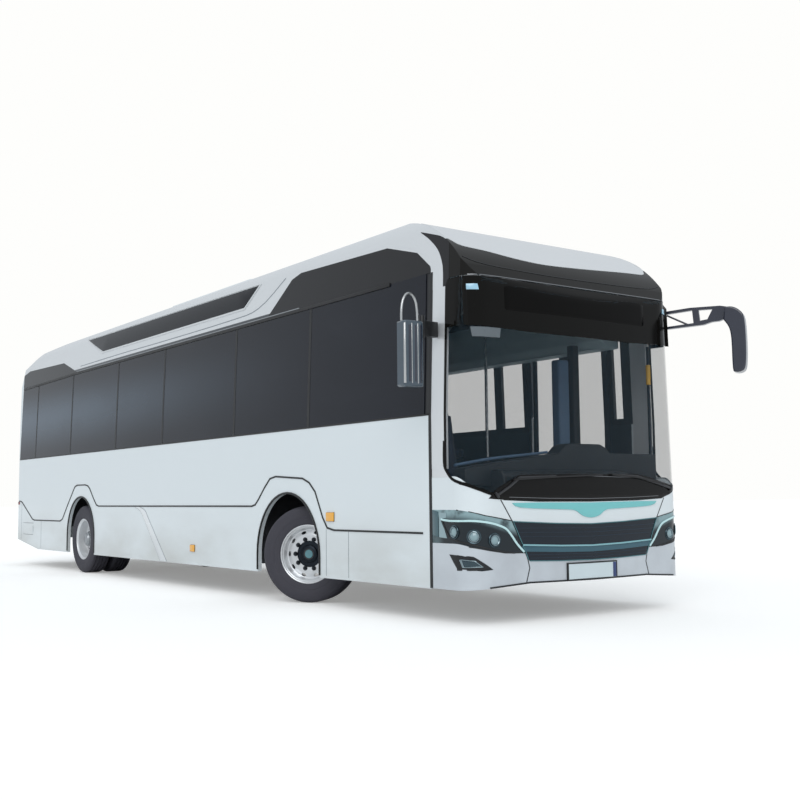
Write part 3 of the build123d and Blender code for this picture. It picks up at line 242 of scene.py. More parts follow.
def gloss(name, colour, roughness=0.08, grain=900.0, **sockets):
    """Smooth plastic or lacquer, barely uneven."""
    finish = Finish(name, colour, roughness, **sockets)
    cloud = finish.noise(5.0, 4.0)
    finish.set("Roughness", roughness + cloud * 0.08)
    finish.set("Base Color", finish.blend(cloud * 0.25, colour, tuple(c * 1.5 + 0.004 for c in colour)))
    finish.bump(finish.noise(grain, 2.0), 0.00005, 0.3)
    return finish.material


def moulded(name, colour, roughness=0.6, grain=700.0, depth=0.0004):
    """Grained moulded plastic or rubber."""
    finish = Finish(name, colour, roughness)
    cloud = finish.noise(9.0, 5.0)
    finish.set("Roughness", roughness - 0.1 + cloud * 0.2)
    finish.set("Base Color", finish.blend(cloud * 0.35, colour, tuple(c * 1.45 + 0.006 for c in colour)))
    finish.bump(finish.noise(grain, 3.0), depth, 0.5)
    return finish.material


def metal(name, colour, roughness=0.3, grain=(1, 1, 1)):
    """Bare or silvered metal with a fine drawn grain."""
    finish = Finish(name, colour, roughness, Metallic=1.0)
    lines = finish.noise(260.0, 3.0, grain)
    finish.set("Roughness", roughness - 0.06 + lines * 0.14)
    finish.set(
        "Base Color", finish.blend(finish.noise(14.0) * 0.3, colour, tuple(c * 0.72 for c in colour))
    )
    finish.bump(lines, 0.0001, 0.3)
    return finish.material


def glazing(name, colour, see_through, clear_share):
    """Tinted glass with a painted reflection: paler in a band at mid height that fades out towards the
    front. On the left side ahead of the third post it is the clearer cab glass.
    """
    finish = Finish(name, colour, 0.03, IOR=1.5, Specular_IOR_Level=0.3)
    across, along, height = finish.axes()
    cab = (across > 0.9) * (along < back(3.57))
    alpha = (1 - see_through) + cab * (see_through - clear_share)
    smear = finish.noise(1.6, 4.0, (1, 0.5, 1)).ramp(0.45, 0.9)
    finish.set("Alpha", alpha)
    finish.set("Roughness", 0.02 + smear * 0.05)
    # Painted reflection: a paler band at mid height, fading towards the front, blended into the glass's
    # colour
    middle = (height.ramp(1.75, 2.35) * (1 - height.ramp(2.35, 2.9))) * along.ramp(back(1.5), back(10.5))
    tint_and_painted_reflection = finish.blend(middle * 0.8, colour, shade("586674"))
    finish.set("Base Color", finish.blend(smear * 0.4, tint_and_painted_reflection, tuple(c * 1.6 + 0.01 for c in colour)))
    return finish.material


def lamp_cover(name, dark, bright):
    """Clear cover over a dark shell, with a painted highlight: the bright colour along its top edge and
    at its outer end.
    """
    finish = Finish(name, dark, 0.06, Coat_Weight=0.1, Specular_IOR_Level=0.3)
    across, along, height = finish.axes()
    middle = across.maths("ABSOLUTE")
    # Painted highlight: the bright colour along the cover's top edge, and faintly towards its outer end
    painted_highlight_band = (height - middle * 0.29 - 0.492).ramp(-0.03, 0.05)
    outer = along.ramp(back(-0.20), back(-0.08)) * 0.2
    share = (painted_highlight_band * 0.65).maths("MAXIMUM", outer)
    finish.set("Base Color", finish.blend(share * finish.noise(7.0).ramp(0.2, 0.5), dark, bright))
    finish.set("Roughness", 0.05 + painted_highlight_band * 0.06)
    finish.bump(finish.noise(60.0, 2.0, (1, 1, 6)), 0.0004, 0.2)
    return finish.material


def cloth(name, colour, stripe):
    """Woven moquette: crossed ribs with a darker stripe."""
    finish = Finish(name, colour, 0.85, Sheen_Weight=0.25)
    across, along, height = finish.axes()
    ribs = (across * 2600.0).maths("SINE") * ((along + height) * 2600.0).maths("SINE")
    bands = ((across * 48.0).maths("SINE") > 0.72) * 0.6
    speckle = finish.noise(160.0, 2.0).ramp(0.5, 0.62)
    finish.set("Base Color", finish.blend(bands + speckle * 0.3, colour, stripe))
    finish.bump(ribs, 0.0006, 0.5)
    return finish.material


# The paints' colours, and the finishes by the name of their slot
WHITE = shade("DFE7EA")
DUST = shade("A9A69C")
SILVER = shade("DDE0E2")
FINISHES = {
    "body_white": paint("body_white", WHITE, DUST, lined=True),
    # The bumper's second colour is painted shade, darker towards its lower edge
    "bumper_white": paint("bumper_white", shade("C6CDD3"), shade("8F9197")),
    "hoop_silver": paint("hoop_silver", SILVER, DUST, 0.3, 0.35, lined=True),
    "black_gloss": gloss("black_gloss", shade("1E1E20"), 0.07, Specular_IOR_Level=0.3),
    "mask_black": gloss("mask_black", shade("141311"), 0.06, Specular_IOR_Level=0.2),
    "grille_navy": gloss("grille_navy", shade("101B26"), 0.16, Specular_IOR_Level=0.35),
    "frame_black": moulded("frame_black", shade("1B1C1F"), 0.4),
    "glass_dark": glazing("glass_dark", shade("121620"), 0.04, 0.80),
    "screen_glass": glazing("screen_glass", shade("2C3B44"), 0.83, 0.83),
    # The pale second colour of this lamp cover is a painted highlight
    "lamp_clear": lamp_cover("lamp_clear", shade("1B242A"), shade("A9C9CE")),
    "lamp_red": gloss("lamp_red", shade("7C1410"), 0.08, Coat_Weight=0.6),
    "plate_white": gloss("plate_white", shade("C9D6DA"), 0.3),
    "display_black": gloss("display_black", shade("060504"), 0.12, Specular_IOR_Level=0.1),
    "hardware_black": moulded("hardware_black", shade("17181A"), 0.42, 900.0, 0.0001),
    "mirror_black": moulded("mirror_black", shade("2A2E33"), 0.35, 1100.0, 0.0001),
    "tyre_black": moulded("tyre_black", shade("38373F"), 0.72, 380.0, 0.0008),
    "rim_silver": paint("rim_silver", shade("E2E5E8"), shade("8F8B85"), 0.24, 0.45, 0.5),
    "frame_dark": moulded("frame_dark", shade("26272A"), 0.6, 160.0, 0.0006),
    "painted_grey": moulded("painted_grey", shade("55585D"), 0.5, 220.0, 0.0004),
    "floor_grey": moulded("floor_grey", shade("4A4D50"), 0.55, 240.0, 0.0008),
    "cab_trim": moulded("cab_trim", shade("1D2024"), 0.55, 500.0, 0.0004),
    "seat_fabric": cloth("seat_fabric", shade("26324E"), shade("131A2C")),
    "rail_steel": metal("rail_steel", shade("C8C9C9"), 0.25, (1, 1, 0.05)),
    "wheel_black": moulded("wheel_black", shade("1A1B1D"), 0.45, 900.0, 0.0002),
}
# The same on parts that swing, whose own place is not the coach's
MOVING_FINISHES = {
    "body_white": paint("leaf_white", WHITE, DUST),
    "glass_dark": glazing("leaf_glass", shade("15171D"), 0.80, 0.80),
}
for row in frame["record"]["subparts"]:
    node = frame["nodes"][row["node"]]
    for slot in node.material_slots:
        slot.material = FINISHES[row["material_slot"]]
        if node.matrix_world.translation.length > 0.001:
            slot.material = MOVING_FINISHES.get(row["material_slot"], slot.material)

# The slots of the part's own record, and the finishes that only the scene's pieces have
SLOTS = [row["slot"] for row in frame["record"]["materials"]]
FINISHES.update(
    {
        "rubber_trim": moulded("rubber_trim", shade("121214"), 0.45, 900.0, 0.0001),
        "joint_grey": moulded("joint_grey", shade("7E858B"), 0.6, 900.0, 0.0001),
        "joint_black": moulded("joint_black", shade("141518"), 0.5, 900.0, 0.0001),
        "slant_silver": paint("slant_silver", shade("E9EDEF"), shade("C9CDD0"), 0.25, 0.15),
        "inset_black": gloss("inset_black", shade("17191E"), 0.12, Specular_IOR_Level=0.25),
        "amber": gloss("amber", shade("EDAE48"), 0.1, Coat_Weight=0.4),
        "teal": gloss("teal", shade("6FBFC0"), 0.2, Coat_Weight=0.6),
        "chrome_teal": metal("chrome_teal", shade("9CCBD2"), 0.12),
        "fin_navy": gloss("fin_navy", shade("1E2C3A"), 0.2, Specular_IOR_Level=0.35),
        "cowl_black": gloss("cowl_black", shade("0F0E0D"), 0.12, Specular_IOR_Level=0.2),
        "clearance_blue": gloss("clearance_blue", shade("9CC7DC"), 0.1, Coat_Weight=0.6),
        "head_line": metal("head_line", shade("8D8F92"), 0.3),
        # The colour of the painted glow under the grille's bar
        "glow_teal": gloss("glow_teal", shade("335A68"), 0.14),
        "frame_teal": metal("frame_teal", shade("5F8A90"), 0.2),
        "plate_blue": gloss("plate_blue", shade("31406E"), 0.2),
        "post_blue": gloss("post_blue", shade("56708C"), 0.3),
        "grip_yellow": moulded("grip_yellow", shade("D9A93A"), 0.5, 900.0, 0.0001),
        "body_plain": paint("body_plain", WHITE, DUST),
        "duct_grey": moulded("duct_grey", shade("97A9AE"), 0.5, 500.0, 0.0002),
        "blind_grey": moulded("blind_grey", shade("5E666B"), 0.7, 600.0, 0.0002),
        "seat_shell": moulded("seat_shell", shade("2A2D33"), 0.5, 500.0, 0.0002),
        "hub_dark": metal("hub_dark", shade("2B3036"), 0.38),
        "hub_steel": metal("hub_steel", shade("A9ADB0"), 0.3),
        # The nuts are dark steel, and their darkness is partly painted shade round the front hub
        "nut_dark": metal("nut_dark", shade("3A3D42"), 0.36),
        "hub_lens": gloss("hub_lens", shade("4F8088"), 0.08, Coat_Weight=0.6),
        "mirror_gloss": gloss("mirror_gloss", shade("2A2D3A"), 0.14, Coat_Weight=0.5),
        "mirror_pale": gloss("mirror_pale", shade("3B4954"), 0.16, Coat_Weight=0.6),
        "mirror_face": metal("mirror_face", shade("C4CCD0"), 0.04),
        "lamp_chrome": metal("lamp_chrome", shade("93A3A9"), 0.16),
        "lamp_shell": metal("lamp_shell", shade("4C5B62"), 0.2),
        "lens_pale": gloss("lens_pale", shade("86A0A6"), 0.05, Coat_Weight=0.8),
        "blade_light": gloss("blade_light", shade("BFE0E2"), 0.12, Coat_Weight=0.6),
        "marker_teal": gloss("marker_teal", shade("3B5A62"), 0.08, Coat_Weight=0.6),
        "print_black": gloss("print_black", shade("0C0B09"), 0.06, Specular_IOR_Level=0.14),
        "wiper_steel": moulded("wiper_steel", shade("2A2B2E"), 0.35, 900.0, 0.0001),
    }
)

# Floor, world and lamps
FLOOR_LIFT = 0.26


def add_floor():
    """A pale floor that keeps the shadow and is white round it."""
    bpy.ops.object.select_all(action="DESELECT")
    bpy.ops.mesh.primitive_plane_add(size=600, location=(0, 0, 0))
    floor = bpy.context.object
    floor.name = "floor"
    finish = Finish("floor_pale", (0.93, 0.93, 0.92), 0.9)
    lit = finish.add("ShaderNodeLightPath", {}).link
    bright = finish.add("ShaderNodeEmission", {}, (1.0, 1.0, 0.985), FLOOR_LIFT)
    plain = finish.add("ShaderNodeAddShader", {}, Value(finish, finish.shader.outputs[0]), bright)
    mixed = finish.add(
        "ShaderNodeMixShader", {}, Value(finish, lit), Value(finish, finish.shader.outputs[0]), plain
    )
    finish.tree.links.new(mixed.link, finish.output.inputs["Surface"])
    floor.data.materials.append(finish.material)


def add_world():
    """White for the camera and for gloss, a plain pale sky as light."""
    world = bpy.data.worlds.new("sky")
    world.use_nodes = True
    tree = world.node_tree
    tree.nodes.clear()
    paths = tree.nodes.new("ShaderNodeLightPath")
    seen = tree.nodes.new("ShaderNodeMath")
    seen.operation = "MAXIMUM"
    tree.links.new(paths.outputs["Is Camera Ray"], seen.inputs[0])
    tree.links.new(paths.outputs["Is Transmission Ray"], seen.inputs[1])
    plain, shown = (tree.nodes.new("ShaderNodeBackground") for made in range(2))
    plain.inputs["Color"].default_value = (0.90, 0.95, 1.0, 1.0)
    plain.inputs["Strength"].default_value = 0.72
    shown.inputs["Color"].default_value = (0.99, 0.99, 0.975, 1.0)
    shown.inputs["Strength"].default_value = 1.0
    mixed = tree.nodes.new("ShaderNodeMixShader")
    output = tree.nodes.new("ShaderNodeOutputWorld")
    tree.links.new(seen.outputs[0], mixed.inputs[0])
    tree.links.new(plain.outputs[0], mixed.inputs[1])
    tree.links.new(shown.outputs[0], mixed.inputs[2])
    tree.links.new(mixed.outputs[0], output.inputs[0])
    bpy.context.scene.world = world


def add_lamp(name, strength, spread, tilt, heading):
    """A soft distant lamp that shines down from a tilt off the zenith, towards a heading off +Y."""
    data = bpy.data.lights.new(name, "SUN")
    data.energy = strength
    data.angle = math.radians(spread)
    lamp = bpy.data.objects.new(name, data)
    lamp.rotation_euler = Euler((math.radians(tilt), 0, math.radians(-heading)))
    bpy.context.collection.objects.link(lamp)


add_floor()
add_world()
add_lamp("key", 1.0, 40, 52, 42)
bpy.context.scene.view_settings.view_transform = "Standard"


# Modelling helpers
def alone():
    """Deselects everything, so that the next operator touches only its own piece."""
    bpy.ops.object.select_all(action="DESELECT")


def pick(piece):
    """Makes one piece the only selected and the active one."""
    alone()
    piece.select_set(True)
    bpy.context.view_layer.objects.active = piece


def edit_whole():
    """Edit mode, with the whole of the active piece selected."""
    bpy.ops.object.mode_set(mode="EDIT")
    bpy.ops.mesh.select_all(action="SELECT")


def leave_edit():
    """Back to object mode."""
    bpy.ops.object.mode_set(mode="OBJECT")


def bake_place():
    """Puts the active piece's place, turn and size into its mesh."""
    bpy.ops.object.transform_apply(location=True, rotation=True, scale=True)


def name_piece(name):
    """Names the active piece and its mesh."""
    piece = bpy.context.object
    piece.name = name
    piece.data.name = name
    return piece


def apply(piece, kind, **settings):
    """Adds a modifier with these settings and applies it."""
    pick(piece)
    modifier = piece.modifiers.new(kind.lower(), kind)
    for name, value in settings.items():
        setattr(modifier, name, value)
    bpy.ops.object.modifier_apply(modifier=modifier.name)


def soften(piece, width, segments=2, angle=35):
    """Rounds the sharp edges and shades smooth by angle."""
    if width:
        apply(
            piece, "BEVEL", width=width, segments=segments, limit_method="ANGLE",
            angle_limit=math.radians(angle),
        )
    pick(piece)
    bpy.ops.object.shade_smooth_by_angle(angle=math.radians(angle))


def settle(piece, finish, body=BODY, stands_for=(), slot=None):
    """Puts the place into the mesh, gives the finish, and rides the piece on its body."""
    pick(piece)
    bake_place()
    piece.data.materials.clear()
    piece.data.materials.append(FINISHES[finish])
    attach(piece, body)
    slot or (finish if finish in SLOTS else "hardware_black")
    if stands_for:
        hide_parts(*stands_for)
    return piece


def assemble(name, parts, finish, **settings):
    """Several parts made one piece and settled."""
    return settle(join(name, parts), finish, **settings)


def join(name, parts):
    """One piece of several."""
    alone()
    for part in parts:
        part.select_set(True)
    bpy.context.view_layer.objects.active = parts[0]
    bpy.ops.object.join()
    return name_piece(name)


def duplicate(piece, matrix=None):
    """A copy with its own mesh, moved by a matrix."""
    pick(piece)
    bpy.ops.object.duplicate()
    copy = bpy.context.object
    if matrix is not None:
        copy.matrix_world = matrix @ copy.matrix_world
        bake_place()
    return copy


def outward(piece):
    """Merges doubles and turns every face outwards."""
    pick(piece)
    edit_whole()
    bpy.ops.mesh.remove_doubles(threshold=0.00005)
    bpy.ops.mesh.normals_make_consistent(inside=False)
    leave_edit()


SKIN_NODES = (
    "skirt_right", "skirt_left", "side_panel_right", "side_panel_left", "side_glass", "cant_panels",
    "roof_fairings", "front_hoop", "front_cap", "front_band", "grille_band", "front_bumper",
    "windshield", "headlamps", "fog_lamps", "roof", "rear_panel", "rear_window", "rear_lamps",
    "rear_bumper", "charge_flap", "motor_lid", "door_front_leaf", "door_rear_leaf", "door_front_glass",
    "door_rear_glass",
)


def add_skin():
    """A passing copy of the body's outside, which flat outlines are pressed onto."""
    skin = join("skin", [duplicate(frame["nodes"][name]) for name in SKIN_NODES])
    skin.parent = None
    return skin


# How a flat outline stands before it is pressed on: a corner's place, the axis and the way it
# is pressed, and the way it faces
VIEWS = {
    "right": (lambda a, b: (-1.6, back(a), b), "x", "positive", (-1, 0, 0)),
    "left": (lambda a, b: (1.6, back(a), b), "x", "negative", (1, 0, 0)),
    "front": (lambda a, b: (a, back(-1.2), b), "y", "positive", (0, -1, 0)),
    "rear": (lambda a, b: (a, back(12.2), b), "y", "negative", (0, 1, 0)),
    "top": (lambda a, b: (a, back(b), 4.2), "z", "negative", (0, 0, 1)),
}

# How far in a plate is pressed before it counts as past the edge of the body
REACH = {"right": 0.37, "left": 0.37, "front": 1.3, "rear": 0.9, "top": 1.4}


def panel(name, outline, view, thick=0.003, lift=-0.001, pitch=0.06, bevel=0.0, reach=None):
    """A thin plate of a flat outline, pressed onto the body and thickened outwards."""
    place, axis, way, normal = VIEWS[view]
    alone()
    bpy.ops.mesh.primitive_circle_add(vertices=len(outline), radius=1)
    piece = name_piece(name)
    for vertex, (a, b) in zip(piece.data.vertices, outline):
        vertex.co = place(a, b)
    edit_whole()
    bpy.ops.mesh.edge_face_add()
    low = [min(point[i] for point in outline) for i in (0, 1)]
    high = [max(point[i] for point in outline) for i in (0, 1)]
    for side in (0, 1):
        count = int((high[side] - low[side]) / pitch)
        for step in range(1, count + 1):
            level = low[side] + (high[side] - low[side]) * step / (count + 1)
            corner = Vector(place(level, level))
            cut = Vector(place(1.0 - side, float(side))) - Vector(place(0.0, 0.0))
            bpy.ops.mesh.select_all(action="SELECT")
            bpy.ops.mesh.bisect(plane_co=corner, plane_no=cut)
    leave_edit()
    if piece.data.polygons[0].normal.dot(Vector(normal)) < 0:
        edit_whole()
        bpy.ops.mesh.flip_normals()
        leave_edit()
    started = [vertex.co.copy() for vertex in piece.data.vertices]
    settings = {f"use_project_{axis}": True, "use_negative_direction": way == "negative"}
    settings["use_positive_direction"] = way == "positive"
    apply(
        piece, "SHRINKWRAP", target=skin, wrap_method="PROJECT", project_limit=reach or REACH[view],
        **settings,
    )
    missed = [v for v, was in zip(piece.data.vertices, started) if (v.co - was).length < 1e-5]
    landed = [v for v, was in zip(piece.data.vertices, started) if (v.co - was).length >= 1e-5]
    letter = "xyz".index(axis)
    for vertex in missed:
        depths = []
        for other in landed:
            apart = vertex.co - other.co
            apart[letter] = 0
            depths.append((apart.length, other.co[letter]))
        vertex.co[letter] = min(depths)[1]
    apply(piece, "SOLIDIFY", thickness=thick - lift, offset=1.0)
    if lift:
        pick(piece)
        piece.location = Vector(normal) * lift
        bpy.ops.object.transform_apply(location=True)
    soften(piece, bevel)
    return piece


def band(path, width):
    """The outline of a strip of this width along a path, mitred at its corners."""
    count = len(path)
    left, right = [], []
    for index, point in enumerate(path):
        here = Vector(point)
        before = Vector(path[index - 1]) if index else None
        after = Vector(path[index + 1]) if index + 1 < count else None
        ways = [(here - before).normalized()] if before is not None else []
        ways += [(after - here).normalized()] if after is not None else []
        along = sum(ways, Vector((0, 0))).normalized()
        across = Vector((-along.y, along.x))
        share = max(0.35, along.dot(ways[0]))
        left.append(tuple(here + across * width / 2 / share))
        right.append(tuple(here - across * width / 2 / share))
    return left + right[::-1]


def stripe(name, path, width, view, thick, **settings):
    """A thin plate of this width along a path."""
    return panel(name, band(path, width), view, thick, **settings)


def sided(side, points):
    """Points given for the left side, on the side asked for."""
    return [(side * x, z) for x, z in points]


def smooth_path(points, steps=4):
    """A path rounded through its points."""
    found = []
    count = len(points)
    for index in range(count - 1):
        p0 = Vector(points[max(index - 1, 0)])
        p1, p2 = Vector(points[index]), Vector(points[index + 1])
        p3 = Vector(points[min(index + 2, count - 1)])
        for step in range(steps):
            t = step / steps
            bent = (2 * p0 - 5 * p1 + 4 * p2 - p3) * t**2
            found.append(
                tuple(0.5 * (2 * p1 + (p2 - p0) * t + bent + (3 * p1 - p0 - 3 * p2 + p3) * t**3))
            )
    return found + [tuple(points[-1])]


skin = add_skin()

# Lines along the sides: moulding, drip rail, panel joints and the slanted silver strip
MOULDING = (
    (0.10, 0.735), (1.50, 0.735), (1.62, 0.755), (1.70, 0.85), (1.84, 1.10), (1.95, 1.19), (2.08, 1.235),
    (2.62, 1.265), (2.74, 1.245), (2.86, 1.15), (2.99, 1.03), (3.06, 0.975), (3.14, 0.96), (7.66, 0.96),
    (7.74, 0.975), (7.84, 1.05), (8.02, 1.21), (8.10, 1.25), (8.20, 1.265), (8.54, 1.265), (8.64, 1.24),
    (8.96, 0.955), (9.16, 0.765), (9.26, 0.735), (10.50, 0.735), (10.60, 0.75), (11.16, 1.02),
    (11.24, 1.04), (11.33, 1.04),
)
DIVIDERS = (1.975, 3.571, 5.512, 7.066, 8.881, 10.527)
ARCHES = ((2.38, 0.62), (8.37, 0.55))
ARCH_TOP = 1.09
DOOR_END = 1.5


def add_side(view):
    """The thin lines and small fittings of one side."""
    door = view == "left"
    moulding = [point for point in MOULDING if point[0] > DOOR_END] if door else MOULDING
    parts = [stripe("moulding", moulding, 0.017, view, 0.006, pitch=0.5, bevel=0.0015)]
    for place in DIVIDERS:
        parts.append(stripe("divider", [(place, 1.735), (place, 2.945)], 0.042, view, 0.002, pitch=0.2))
    drip = [(1.52 if door else 0.60, 2.943), (8.75, 2.943), (11.30, 2.915)]
    parts.append(stripe("drip_rail", drip, 0.034, view, 0.012, pitch=0.6, bevel=0.003))
    bright = stripe("bright", [(2.2, 2.966), (8.75, 2.966)], 0.010, view, 0.008, pitch=0.6, bevel=0.002)
    assemble(f"drip_bright_{view}", [bright], "hub_steel")
    sill = [(1.52 if door else 0.0, 1.732), (11.33, 1.732)]
    parts.append(stripe("sill_line", sill, 0.016, view, 0.004, pitch=0.6, bevel=0.001))
    if not door:
        parts.append(
            stripe("front_seam", [(-0.012, 0.285), (-0.012, 2.95)], 0.036, view, 0.003, pitch=0.2)
        )
    assemble(f"side_lines_{view}", parts, "rubber_trim")
    joints = [
        [(1.25, 0.30), (1.25, 0.725)], [(1.64, 0.30), (1.64, 0.74)], [(10.16, 0.30), (10.16, 0.725)],
        [(11.18, 0.42), (11.18, 1.0)],
    ]
    if door:
        joints = joints[2:]
    parts = [stripe("joint", path, 0.006, view, 0.0012, pitch=0.5) for path in joints]
    assemble(f"panel_joints_{view}", parts, "joint_grey")
    edge = smooth_path([(6.34, 0.945), (6.17, 0.90), (6.02, 0.77), (5.84, 0.60), (5.52, 0.285)], 3)
    other = smooth_path([(5.33, 0.285), (5.70, 0.62), (5.90, 0.80), (6.02, 0.905), (6.20, 0.95)], 3)
    strip = panel(f"slant_strip_{view}", edge + other, view, 0.004, pitch=0.3, bevel=0.001)
    settle(strip, "slant_silver")
    parts = [stripe("edge", path, 0.009, view, 0.003, pitch=0.3) for path in (edge, other)]
    assemble(f"slant_edges_{view}", parts, "joint_grey")


def add_inset(view):
    """The dark inset in the silver fairing above the windows, its rim and the crease under it."""
    outline = ((3.06, 3.345), (3.42, 3.150), (7.70, 3.155), (8.30, 3.385))
    settle(
        panel(f"fairing_inset_{view}", outline, view, 0.004, pitch=0.25, bevel=0.002, reach=0.9),
        "inset_black",
    )
    edges = (
        [(3.03, 3.358), (3.40, 3.134), (7.73, 3.139), (8.34, 3.395)], [(3.03, 3.358), (8.34, 3.400)]
    )
    rims = [stripe("rim", path, 0.016, view, 0.010, pitch=0.3, bevel=0.003, reach=0.9) for path in edges]
    contour = smooth_path(
        [(2.50, 3.328), (3.08, 3.092), (3.78, 3.050), (5.70, 3.042), (7.05, 3.044), (8.60, 3.034)], 4
    )
    line = stripe("contour", contour, 0.009, view, 0.002, pitch=0.3, reach=0.9)
    assemble(f"fairing_contour_{view}", [line], "joint_grey")
    assemble(f"fairing_rims_{view}", rims, "hoop_silver")


def add_arch_lips(view):
    """A black rubber lip round each wheel arch."""
    lips = []
    for centre, half in ARCHES:
        middle, reach = ARCH_TOP - half, half + 0.004
        path = [(centre - half - 0.004, 0.30)]
        for step in range(25):
            turn = math.pi * step / 24
            path.append((centre - reach * math.cos(turn), middle + reach * math.sin(turn)))
        path.append((centre + half + 0.004, 0.30))
        lips.append(stripe("lip", path, 0.020, view, 0.012, pitch=2.0, bevel=0.003))
    assemble(f"arch_lips_{view}", lips, "rubber_trim")


def add_side_lamps(view):
    """Amber side markers in dark holders."""
    bases, lenses = [], []
    front_place = 1.62 if view == "left" else 1.56
    for place, height, length, tall in ((front_place, 0.86, 0.13, 0.085), (4.59, 0.47, 0.11, 0.08)):
        for made, name, grow, thick, bevel in (
            (bases, "base", 0.002, 0.005, 0.002), (lenses, "lens", 0.0, 0.018, 0.006)
        ):
            start, stop = place - length / 2 - grow, place + length / 2 + grow
            low, high = height - tall / 2 - grow, height + tall / 2 + grow
            outline = [(start, low), (stop, low), (stop, high), (start, high)]
            made.append(panel(name, outline, view, thick, pitch=1.0, bevel=bevel))
    assemble(f"marker_bases_{view}", bases, "hardware_black")
    assemble(f"marker_lenses_{view}", lenses, "amber")


for view in ("right", "left"):
    add_side(view)
    add_inset(view)
    add_arch_lips(view)
    add_side_lamps(view)


# Front
def add_front():
    """Cowl, teal strip, joints of the mask, grille, plate rim and clearance lamps."""
    cowl = [
        (-1.10, 1.02), (-1.02, 1.10), (-0.80, 1.205), (-0.74, 1.215), (0.60, 1.225), (0.70, 1.215),
        (1.16, 1.115), (1.14, 1.08), (0.96, 1.010), (0.60, 0.997), (0.0, 0.990), (-0.60, 0.997),
        (-0.96, 1.010),
    ]
    settle(panel("screen_cowl", cowl, "front", 0.004, bevel=0.001), "cowl_black")
    teal = smooth_path(
        [
            (-0.87, 0.982), (-0.78, 0.944), (-0.36, 0.925), (-0.19, 0.915), (-0.10, 0.868), (0.0, 0.850),
            (0.10, 0.868), (0.19, 0.915), (0.36, 0.925), (0.78, 0.944), (0.87, 0.982),
        ],
        3,
    )
    teal += [(0.60, 0.984), (0.0, 0.978), (-0.60, 0.984)]
    settle(panel("teal_strip", teal, "front", 0.008, bevel=0.003), "teal")
    lines = [
        [(-0.76, 1.188), (0.0, 1.205), (0.68, 1.192)],
        [(-0.90, 1.030), (-0.50, 1.018), (0.0, 1.012), (0.50, 1.018), (0.90, 1.030)],
    ]
    parts = [stripe("line", path, 0.004, "front", 0.006, pitch=0.05) for path in lines]
    assemble("cowl_lines", parts, "head_line")
    joints = []
    for side in (-1, 1):
        joint = [(0.985, 1.01), (0.873, 0.836), (0.722, 0.535), (0.700, 0.45), (0.735, 0.335)]
        joints.append(sided(side, joint))
    parts = [stripe("joint", path, 0.009, "front", 0.0015, pitch=0.08) for path in joints]
    assemble("mask_joints", parts, "joint_black")
    wave = [(-0.775, 0.640), (-0.36, 0.622), (0.0, 0.614), (0.36, 0.622), (0.775, 0.640)]
    # Painted glow: a paler teal band just under the chrome bar
    glow = [(x, z - 0.024) for x, z in wave]
    settle(stripe("grille_glow", glow, 0.060, "front", 0.003, pitch=0.05, bevel=0.001), "glow_teal")
    settle(stripe("grille_bar", wave, 0.016, "front", 0.014, pitch=0.05, bevel=0.004), "chrome_teal")
    rows = []
    for count, level, drop, reach, fall, rise in (
        (2, 0.545, -0.027, 0.715, -0.014, 0.012), (3, 0.690, 0.036, 0.80, 0.016, 0.016)
    ):
        for row in range(count):
            middle, end = level + row * drop, reach + row * fall
            rows.append([(-end, middle + rise), (0.0, middle), (end, middle + rise)])
    parts = [stripe("fin", path, 0.006, "front", 0.004, pitch=0.06, bevel=0.001) for path in rows]
    assemble("grille_fins", parts, "fin_navy")
    edges = [[(-0.868, 0.832), (-0.40, 0.808), (0.0, 0.797), (0.40, 0.808), (0.868, 0.832)],
             [(-0.70, 0.508), (-0.36, 0.497), (0.0, 0.492), (0.36, 0.497), (0.70, 0.508)]]
    parts = [stripe("edge", path, 0.008, "front", 0.006, pitch=0.05, bevel=0.002) for path in edges]
    for side in (-1, 1):
        teal_edge = sided(side, [(0.862, 0.825), (0.745, 0.590), (0.712, 0.515)])
        parts.append(stripe("edge", teal_edge, 0.008, "front", 0.006, pitch=0.05, bevel=0.002))
    assemble("grille_frame", parts, "frame_teal")
    chin = [(-1.10, 0.306), (-0.70, 0.331), (0.0, 0.326), (0.70, 0.331), (1.10, 0.306)]
    settle(stripe("bumper_chin", chin, 0.014, "front", 0.004, pitch=0.05, bevel=0.001), "joint_black")
    plate_rim = [(-0.292, 0.331), (0.292, 0.331), (0.292, 0.469), (-0.292, 0.469), (-0.292, 0.331)]
    settle(
        stripe("plate_rim", plate_rim, 0.012, "front", 0.016, pitch=0.3, bevel=0.002), "hardware_black"
    )
    lamps = []
    for side in (-1, 1):
        outline = sided(side, [(1.12, 2.735), (1.215, 2.735), (1.21, 2.785), (1.13, 2.785)])
        lamps.append(panel("clearance", outline, "front", 0.010, bevel=0.004))
    assemble("clearance_lamps", lamps, "clearance_blue")
    # Painted highlight: a thin grey metal strip along the top edge of the screen
    edge = [(-1.20, 2.862), (-0.9, 2.866), (0.0, 2.866), (0.9, 2.866), (1.2, 2.862)]
    settle(stripe("screen_head_line", edge, 0.008, "front", 0.004, pitch=0.06, bevel=0.001), "head_line")


add_front()


# Wheels and turned forms
def closed_loop(name, points, place):
    """A loop of edges through the points, each set by place."""
    alone()
    bpy.ops.mesh.primitive_circle_add(vertices=len(points), radius=1)
    piece = name_piece(name)
    for vertex, point in zip(piece.data.vertices, points):
        vertex.co = place(*point)
    return piece


def turned(name, profile, steps=96, smooth=32):
    """A form turned about Z from a closed profile of (radius, height)."""
    piece = closed_loop(name, profile, lambda radius, height: (radius, 0, height))
    edit_whole()
    bpy.ops.mesh.spin(steps=steps, angle=2 * math.pi, center=(0, 0, 0), axis=(0, 0, 1))
    leave_edit()
    outward(piece)
    soften(piece, 0, angle=smooth)
    return piece


